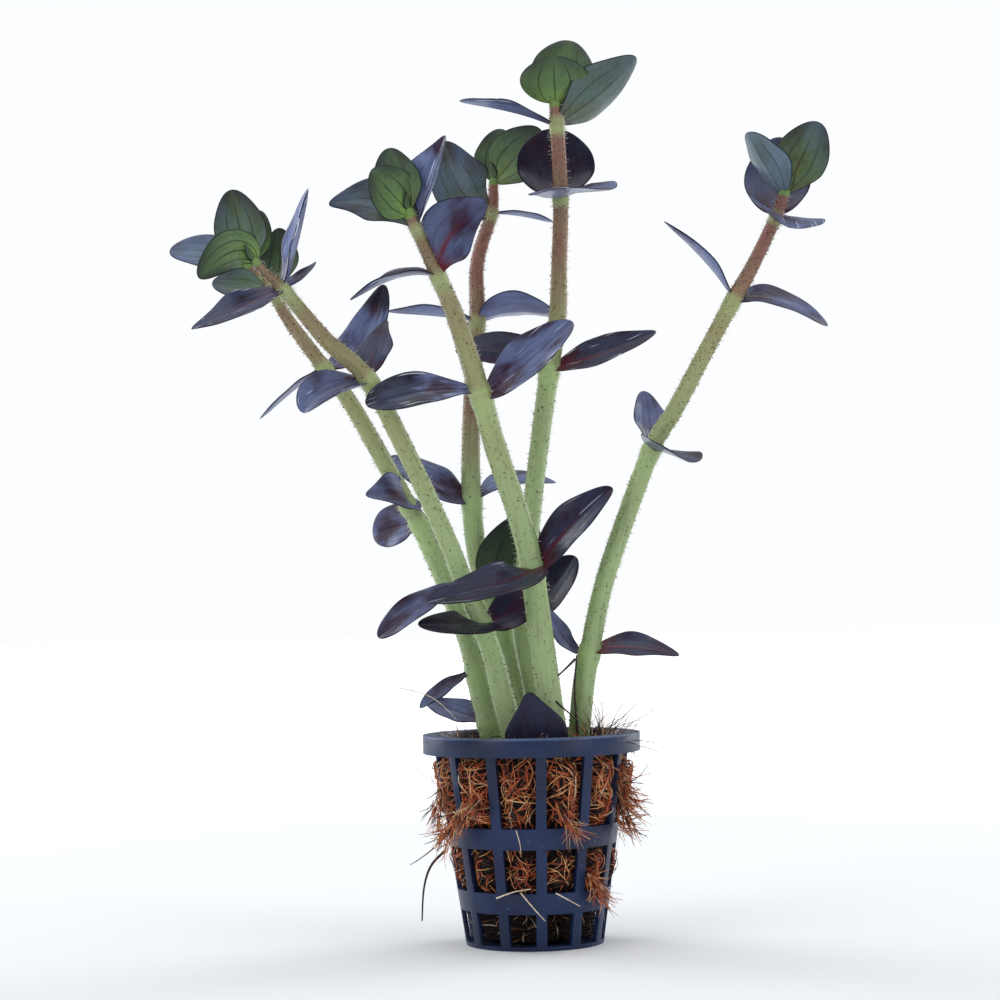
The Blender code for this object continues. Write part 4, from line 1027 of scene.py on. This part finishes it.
def topStrands(seed, count, length, thickness, rise):
    # strands that lie across the coir inside the rim
    chance = random.Random(seed)
    strands = []
    for _ in range(count):
        angle, radius = chance.uniform(0, 2 * math.pi), coir["topSpread"] * math.sqrt(chance.random())
        height = coir["top"] + chance.uniform(-0.4, 0.9)
        heading, curl = chance.uniform(0, 2 * math.pi), chance.gauss(0, 0.2)
        spot, strand = Vector((math.cos(angle) * radius, math.sin(angle) * radius, height)), []
        long = chance.uniform(*length)
        steps = max(4, int(long / coir["step"]))
        thick, hump = chance.uniform(*thickness), chance.uniform(0, rise)
        for index in range(steps):
            part = index / (steps - 1)
            here = spot + Vector((0, 0, hump * math.sin(part * math.pi)))
            if math.hypot(here.x, here.y) > coir["topReach"]:
                break
            strand.append((here, thick * (0.5 + 0.5 * math.sin(math.pi * part))))
            spot = spot + Vector((math.cos(heading), math.sin(heading), 0.0)) * coir["step"]
            heading += curl + chance.gauss(0, 0.2)
        if len(strand) > 3:
            strands.append(strand)
    return strands


# Tufts that stand out of the coir: the line each follows, how wide it is and how many strands it has
tufts = {
    "left": {"line": ((-12.6, -18.4, 34.4), (-16.4, -18.2, 30.8), (-18.8, -16.8, 28.0),
                      (-20.0, -15.4, 25.6)),
             "wide": 2.2, "count": 120, "long": (2.5, 6.0), "way": (-0.45, -0.3, -0.85)},
    "leftSide": {"line": ((-20.6, -9.0, 36.0), (-21.6, -10.0, 32.5), (-21.4, -11.0, 28.9)),
                 "wide": 1.4, "count": 40, "long": (2.5, 5.0), "way": (-0.3, -0.2, -0.9)},
    "right": {"line": ((18.8, -8.0, 40.6), (20.3, -8.0, 36.2), (20.8, -8.0, 31.5), (20.2, -8.0, 27.8)),
              "wide": 1.9, "count": 130, "long": (3.0, 7.0), "way": (0.6, -0.25, -0.5)},
    "rightLow": {"line": ((12.2, -14.4, 16.4), (13.8, -13.4, 14.0), (14.8, -11.6, 11.6)),
                 "wide": 1.6, "count": 60, "long": (2.5, 6.0), "way": (0.5, -0.4, -0.6)},
    "frontRight": {"line": ((5.4, -20.8, 33.4), (7.0, -21.4, 30.4), (8.4, -21.8, 28.2)),
                   "wide": 1.4, "count": 30, "long": (3.0, 7.5), "way": (0.45, -0.3, -0.85)},
}


def tuftStrands(seed, share, thickness):
    chance = random.Random(seed)
    strands = []
    for tuft in tufts.values():
        route = smoothRoute(tuft["line"], 1.0)
        for _ in range(int(tuft["count"] * share)):
            spot = chance.choice(route) + Vector([chance.gauss(0, tuft["wide"] * 0.4) for _ in range(3)])
            way = Vector(tuft["way"]) + Vector([chance.gauss(0, 0.38) for _ in range(3)])
            long, thick = chance.uniform(*tuft["long"]), chance.uniform(*thickness)
            strands.append(looseStrand(chance, spot, way, long, thick, chance.gauss(0, 0.12), 0.03))
    return strands


# Single strands and twigs that the eye picks out: how thick they are and points in millimetres
singleStrands = {
    "dark": (
        (0.34, ((-20.1, -13.0, 22.6), (-23.3, -12.0, 19.2), (-25.0, -11.0, 14.1), (-25.6, -10.0, 6.6))),
        (0.42, ((10.9, -5.4, 43.0), (10.3, -6.4, 51.1), (10.0, -6.4, 57.9), (10.7, -6.2, 65.9))),
        (0.36, ((10.3, -6.6, 65.0), (8.6, -7.8, 63.4), (6.2, -9.6, 61.3))),
        (0.24, ((5.6, -10.6, 55.6), (8.2, -9.4, 53.2), (11.0, -8.2, 50.6))),
        (0.16, ((-22.5, -13.0, 23.3), (-25.4, -13.6, 21.2), (-27.9, -14.0, 19.7))),
        (0.2, ((-18.6, -16.8, 31.0), (-21.8, -17.0, 30.4), (-22.8, -16.8, 29.2))),
        (0.14, ((20.0, -8.0, 36.0), (24.0, -8.6, 38.0), (26.4, -9.0, 41.0))),
        (0.14, ((20.6, -8.0, 33.0), (24.6, -8.6, 32.6), (27.2, -9.0, 32.0))),
    ),
    "pale": (
        (0.2, ((-3.2, -18.9, 13.5), (-0.6, -20.0, 10.4), (2.1, -20.6, 7.4))),
        (0.2, ((-8.7, -18.6, 12.4), (-4.8, -19.2, 13.8), (-0.9, -19.4, 14.4))),
        (0.18, ((4.6, -19.4, 13.4), (7.2, -20.0, 12.0), (9.9, -20.4, 10.5))),
        (0.12, ((-30.0, 0.0, 58.9), (-24.5, -2.0, 57.5), (-20.8, -5.0, 55.5), (-17.1, -8.0, 51.9))),
        (0.1, ((-27.0, -9.0, 42.0), (-24.0, -10.0, 39.0), (-21.0, -11.0, 36.4))),
        (0.16, ((-4.0, -20.6, 27.6), (-3.2, -21.4, 24.6), (-3.0, -21.6, 22.4))),
    ),
}


def singles(kind):
    lines = []
    for thickness, points in singleStrands[kind]:
        route = smoothRoute(points, 0.7)
        count = len(route) - 1
        lines.append([(spot, thickness * (1.0 - 0.5 * index / count)) for index, spot in enumerate(route)])
    return lines


# Where strands stand up inside the rim: share so far, from and to in x and in y, lean and length
rimPatches = (
    (0.6, (11, 20), (-14, 2), 0.3, (5.0, 15.0)),
    (0.85, (-19, -11), (-12, 4), -0.2, (3.0, 8.5)),
    (1.0, (-8, 9), (-19, -16), 0.0, (3.0, 6.5)),
)


def rimStrands(seed, count, thickness):
    # wiry strands that stand up inside the rim, most of them at the right
    chance = random.Random(seed)
    strands = []
    while len(strands) < count:
        side = chance.random()
        across, deep, lean, long = next(row[1:] for row in rimPatches if side < row[0])
        start = Vector((chance.uniform(*across), chance.uniform(*deep), coir["rimFoot"]))
        if math.hypot(start.x, start.y) > coir["rimReach"]:
            continue
        way = (chance.gauss(lean, 0.55), chance.gauss(0, 0.45), chance.uniform(0.45, 1.2))
        curl = chance.choice((-0.3, 0.3)) if chance.random() < 0.5 else chance.gauss(0, 0.1)
        reach, thick = chance.uniform(*long), chance.uniform(*thickness)
        strands.append(looseStrand(chance, start, way, reach, thick, curl))
    return strands


# The fine strands of the coir. Each row is a piece, its finish and its strands: seed, how many, then lengths,
# thicknesses and how far they stand out, in millimetres
coirLayers = (
    ("coir_wall_upper", "red", wallStrands(11, 620, (2,), (4, 13), (0.09, 0.21), (-0.3, 0.5))),
    ("coir_wall_upper_tan", "tan", wallStrands(12, 360, (2,), (5, 14), (0.07, 0.16), (0.0, 1.0))),
    ("coir_wall_lower", "red", wallStrands(22, 260, (1,), (3, 9), (0.09, 0.19), (-0.3, 0.4))),
    ("coir_wall_lower_tan", "tan", wallStrands(23, 170, (1,), (3, 9), (0.07, 0.14), (0.0, 0.9))),
    ("coir_wall_foot", "tan", wallStrands(24, 40, (0,), (2, 6), (0.07, 0.12), (0.0, 0.6))),
    ("coir_wall_dark", "dark", wallStrands(13, 900, (0, 0, 1, 1, 2, 2), (3, 10), (0.08, 0.18), (-0.3, 0.4))),
    ("coir_wall_pale", "pale", wallStrands(14, 90, (0, 1, 2, 2), (3, 10), (0.05, 0.1), (0.2, 1.1))),
    ("coir_tufts", "red", tuftStrands(15, 0.6, (0.09, 0.19))),
    ("coir_tufts_tan", "tan", tuftStrands(25, 0.6, (0.07, 0.15))),
    ("coir_tufts_dark", "dark", tuftStrands(16, 0.35, (0.08, 0.17)) + singles("dark")),
    ("coir_tufts_pale", "pale", tuftStrands(17, 0.12, (0.05, 0.1)) + singles("pale")),
    ("coir_top", "red", topStrands(18, 300, (4, 12), (0.09, 0.18), 1.6)),
    ("coir_top_tan", "tan", topStrands(28, 150, (4, 12), (0.07, 0.13), 2.2)),
    ("coir_top_dark", "dark", topStrands(19, 620, (4, 11), (0.08, 0.18), 2.6)),
    ("coir_rim_dark", "dark", rimStrands(20, 150, (0.08, 0.17))),
    ("coir_rim_tan", "tan", rimStrands(21, 60, (0.07, 0.14))),
    ("coir_rim_pale", "pale", rimStrands(31, 10, (0.05, 0.08))),
)


def makeCoir():
    makeCore()
    finishes = {"red": coirRed, "tan": coirTan, "dark": coirDark, "pale": coirPale}
    for name, finish, strands in coirLayers:
        strandPiece(name, strands, finishes[finish])


makeCoir()
print("coir laid")


# Floor and soft studio light. The floor glows away from the pot, and the sky is white where it is seen

studio = {"floor": 4.0, "white": (0.84, 0.85, 0.87, 1.0), "glow": 1.2, "glowFrom": 0.25, "glowTo": 0.8,
          "world": 0.32, "seen": 1.0}


def makeStage():
    bm = bmesh.new()
    bmesh.ops.create_circle(bm, cap_ends=True, segments=96, radius=studio["floor"])
    mesh = bpy.data.meshes.new("floor")
    bm.to_mesh(mesh)
    bm.free()
    made, tree, shader = newMaterial("paper", Roughness=0.9, Specular_IOR_Level=0.1)
    shader.inputs["Base Color"].default_value = studio["white"]
    shader.inputs["Emission Color"].default_value = studio["white"]
    where = node(tree, "TexCoord").outputs["Object"]
    away = node(tree, "VectorMath", {0: where}, operation="LENGTH").outputs[1]
    glow = fade(tree, away, studio["glowFrom"], studio["glowTo"], 0.0, studio["glow"])
    tree.links.new(glow, shader.inputs["Emission Strength"])
    mesh.materials.append(made)
    stage = bpy.data.objects.new("floor", mesh)
    bpy.context.scene.collection.objects.link(stage)


lamps = {
    "top": {"place": (0.0, 0.05, 0.75), "aim": (0.0, 0.0, 0.12), "size": (0.9, 0.7), "power": 3.6},
    "frontLeft": {"place": (-0.65, -0.7, 0.45), "aim": (0.0, 0.0, 0.1), "size": (0.5, 0.6), "power": 2.2},
    "frontRight": {"place": (0.7, -0.6, 0.3), "aim": (0.0, 0.0, 0.1), "size": (0.4, 0.6), "power": 1.5},
    "backLeft": {"place": (-0.6, 0.45, 0.35), "aim": (0.0, 0.0, 0.12), "size": (0.4, 0.6), "power": 2.6},
    "backRight": {"place": (0.6, 0.45, 0.35), "aim": (0.0, 0.0, 0.12), "size": (0.4, 0.6), "power": 2.6},
}


def makeLamps():
    for name, lamp in lamps.items():
        data = bpy.data.lights.new(name, "AREA")
        data.shape = "RECTANGLE"
        data.size, data.size_y = lamp["size"]
        data.energy = lamp["power"]
        data.color = (0.96, 0.98, 1.0)
        light = bpy.data.objects.new(name, data)
        place = Vector(lamp["place"])
        turn = (place - Vector(lamp["aim"])).to_track_quat("Z", "Y").to_matrix().to_4x4()
        light.matrix_world = Matrix.Translation(place) @ turn
        bpy.context.scene.collection.objects.link(light)
    world = bpy.data.worlds.new("studio")
    world.use_nodes = True
    tree, sky = world.node_tree, world.node_tree.nodes["Background"]
    sky.inputs["Color"].default_value = (0.97, 0.985, 1.0, 1.0)
    toCamera = node(tree, "LightPath").outputs["Is Camera Ray"]
    seen = fade(tree, toCamera, 0.0, 1.0, studio["world"], studio["seen"])
    tree.links.new(seen, sky.inputs["Strength"])
    bpy.context.scene.world = world
    bpy.context.scene.view_settings.view_transform = "Standard"


makeStage()
makeLamps()
print("stage lit")
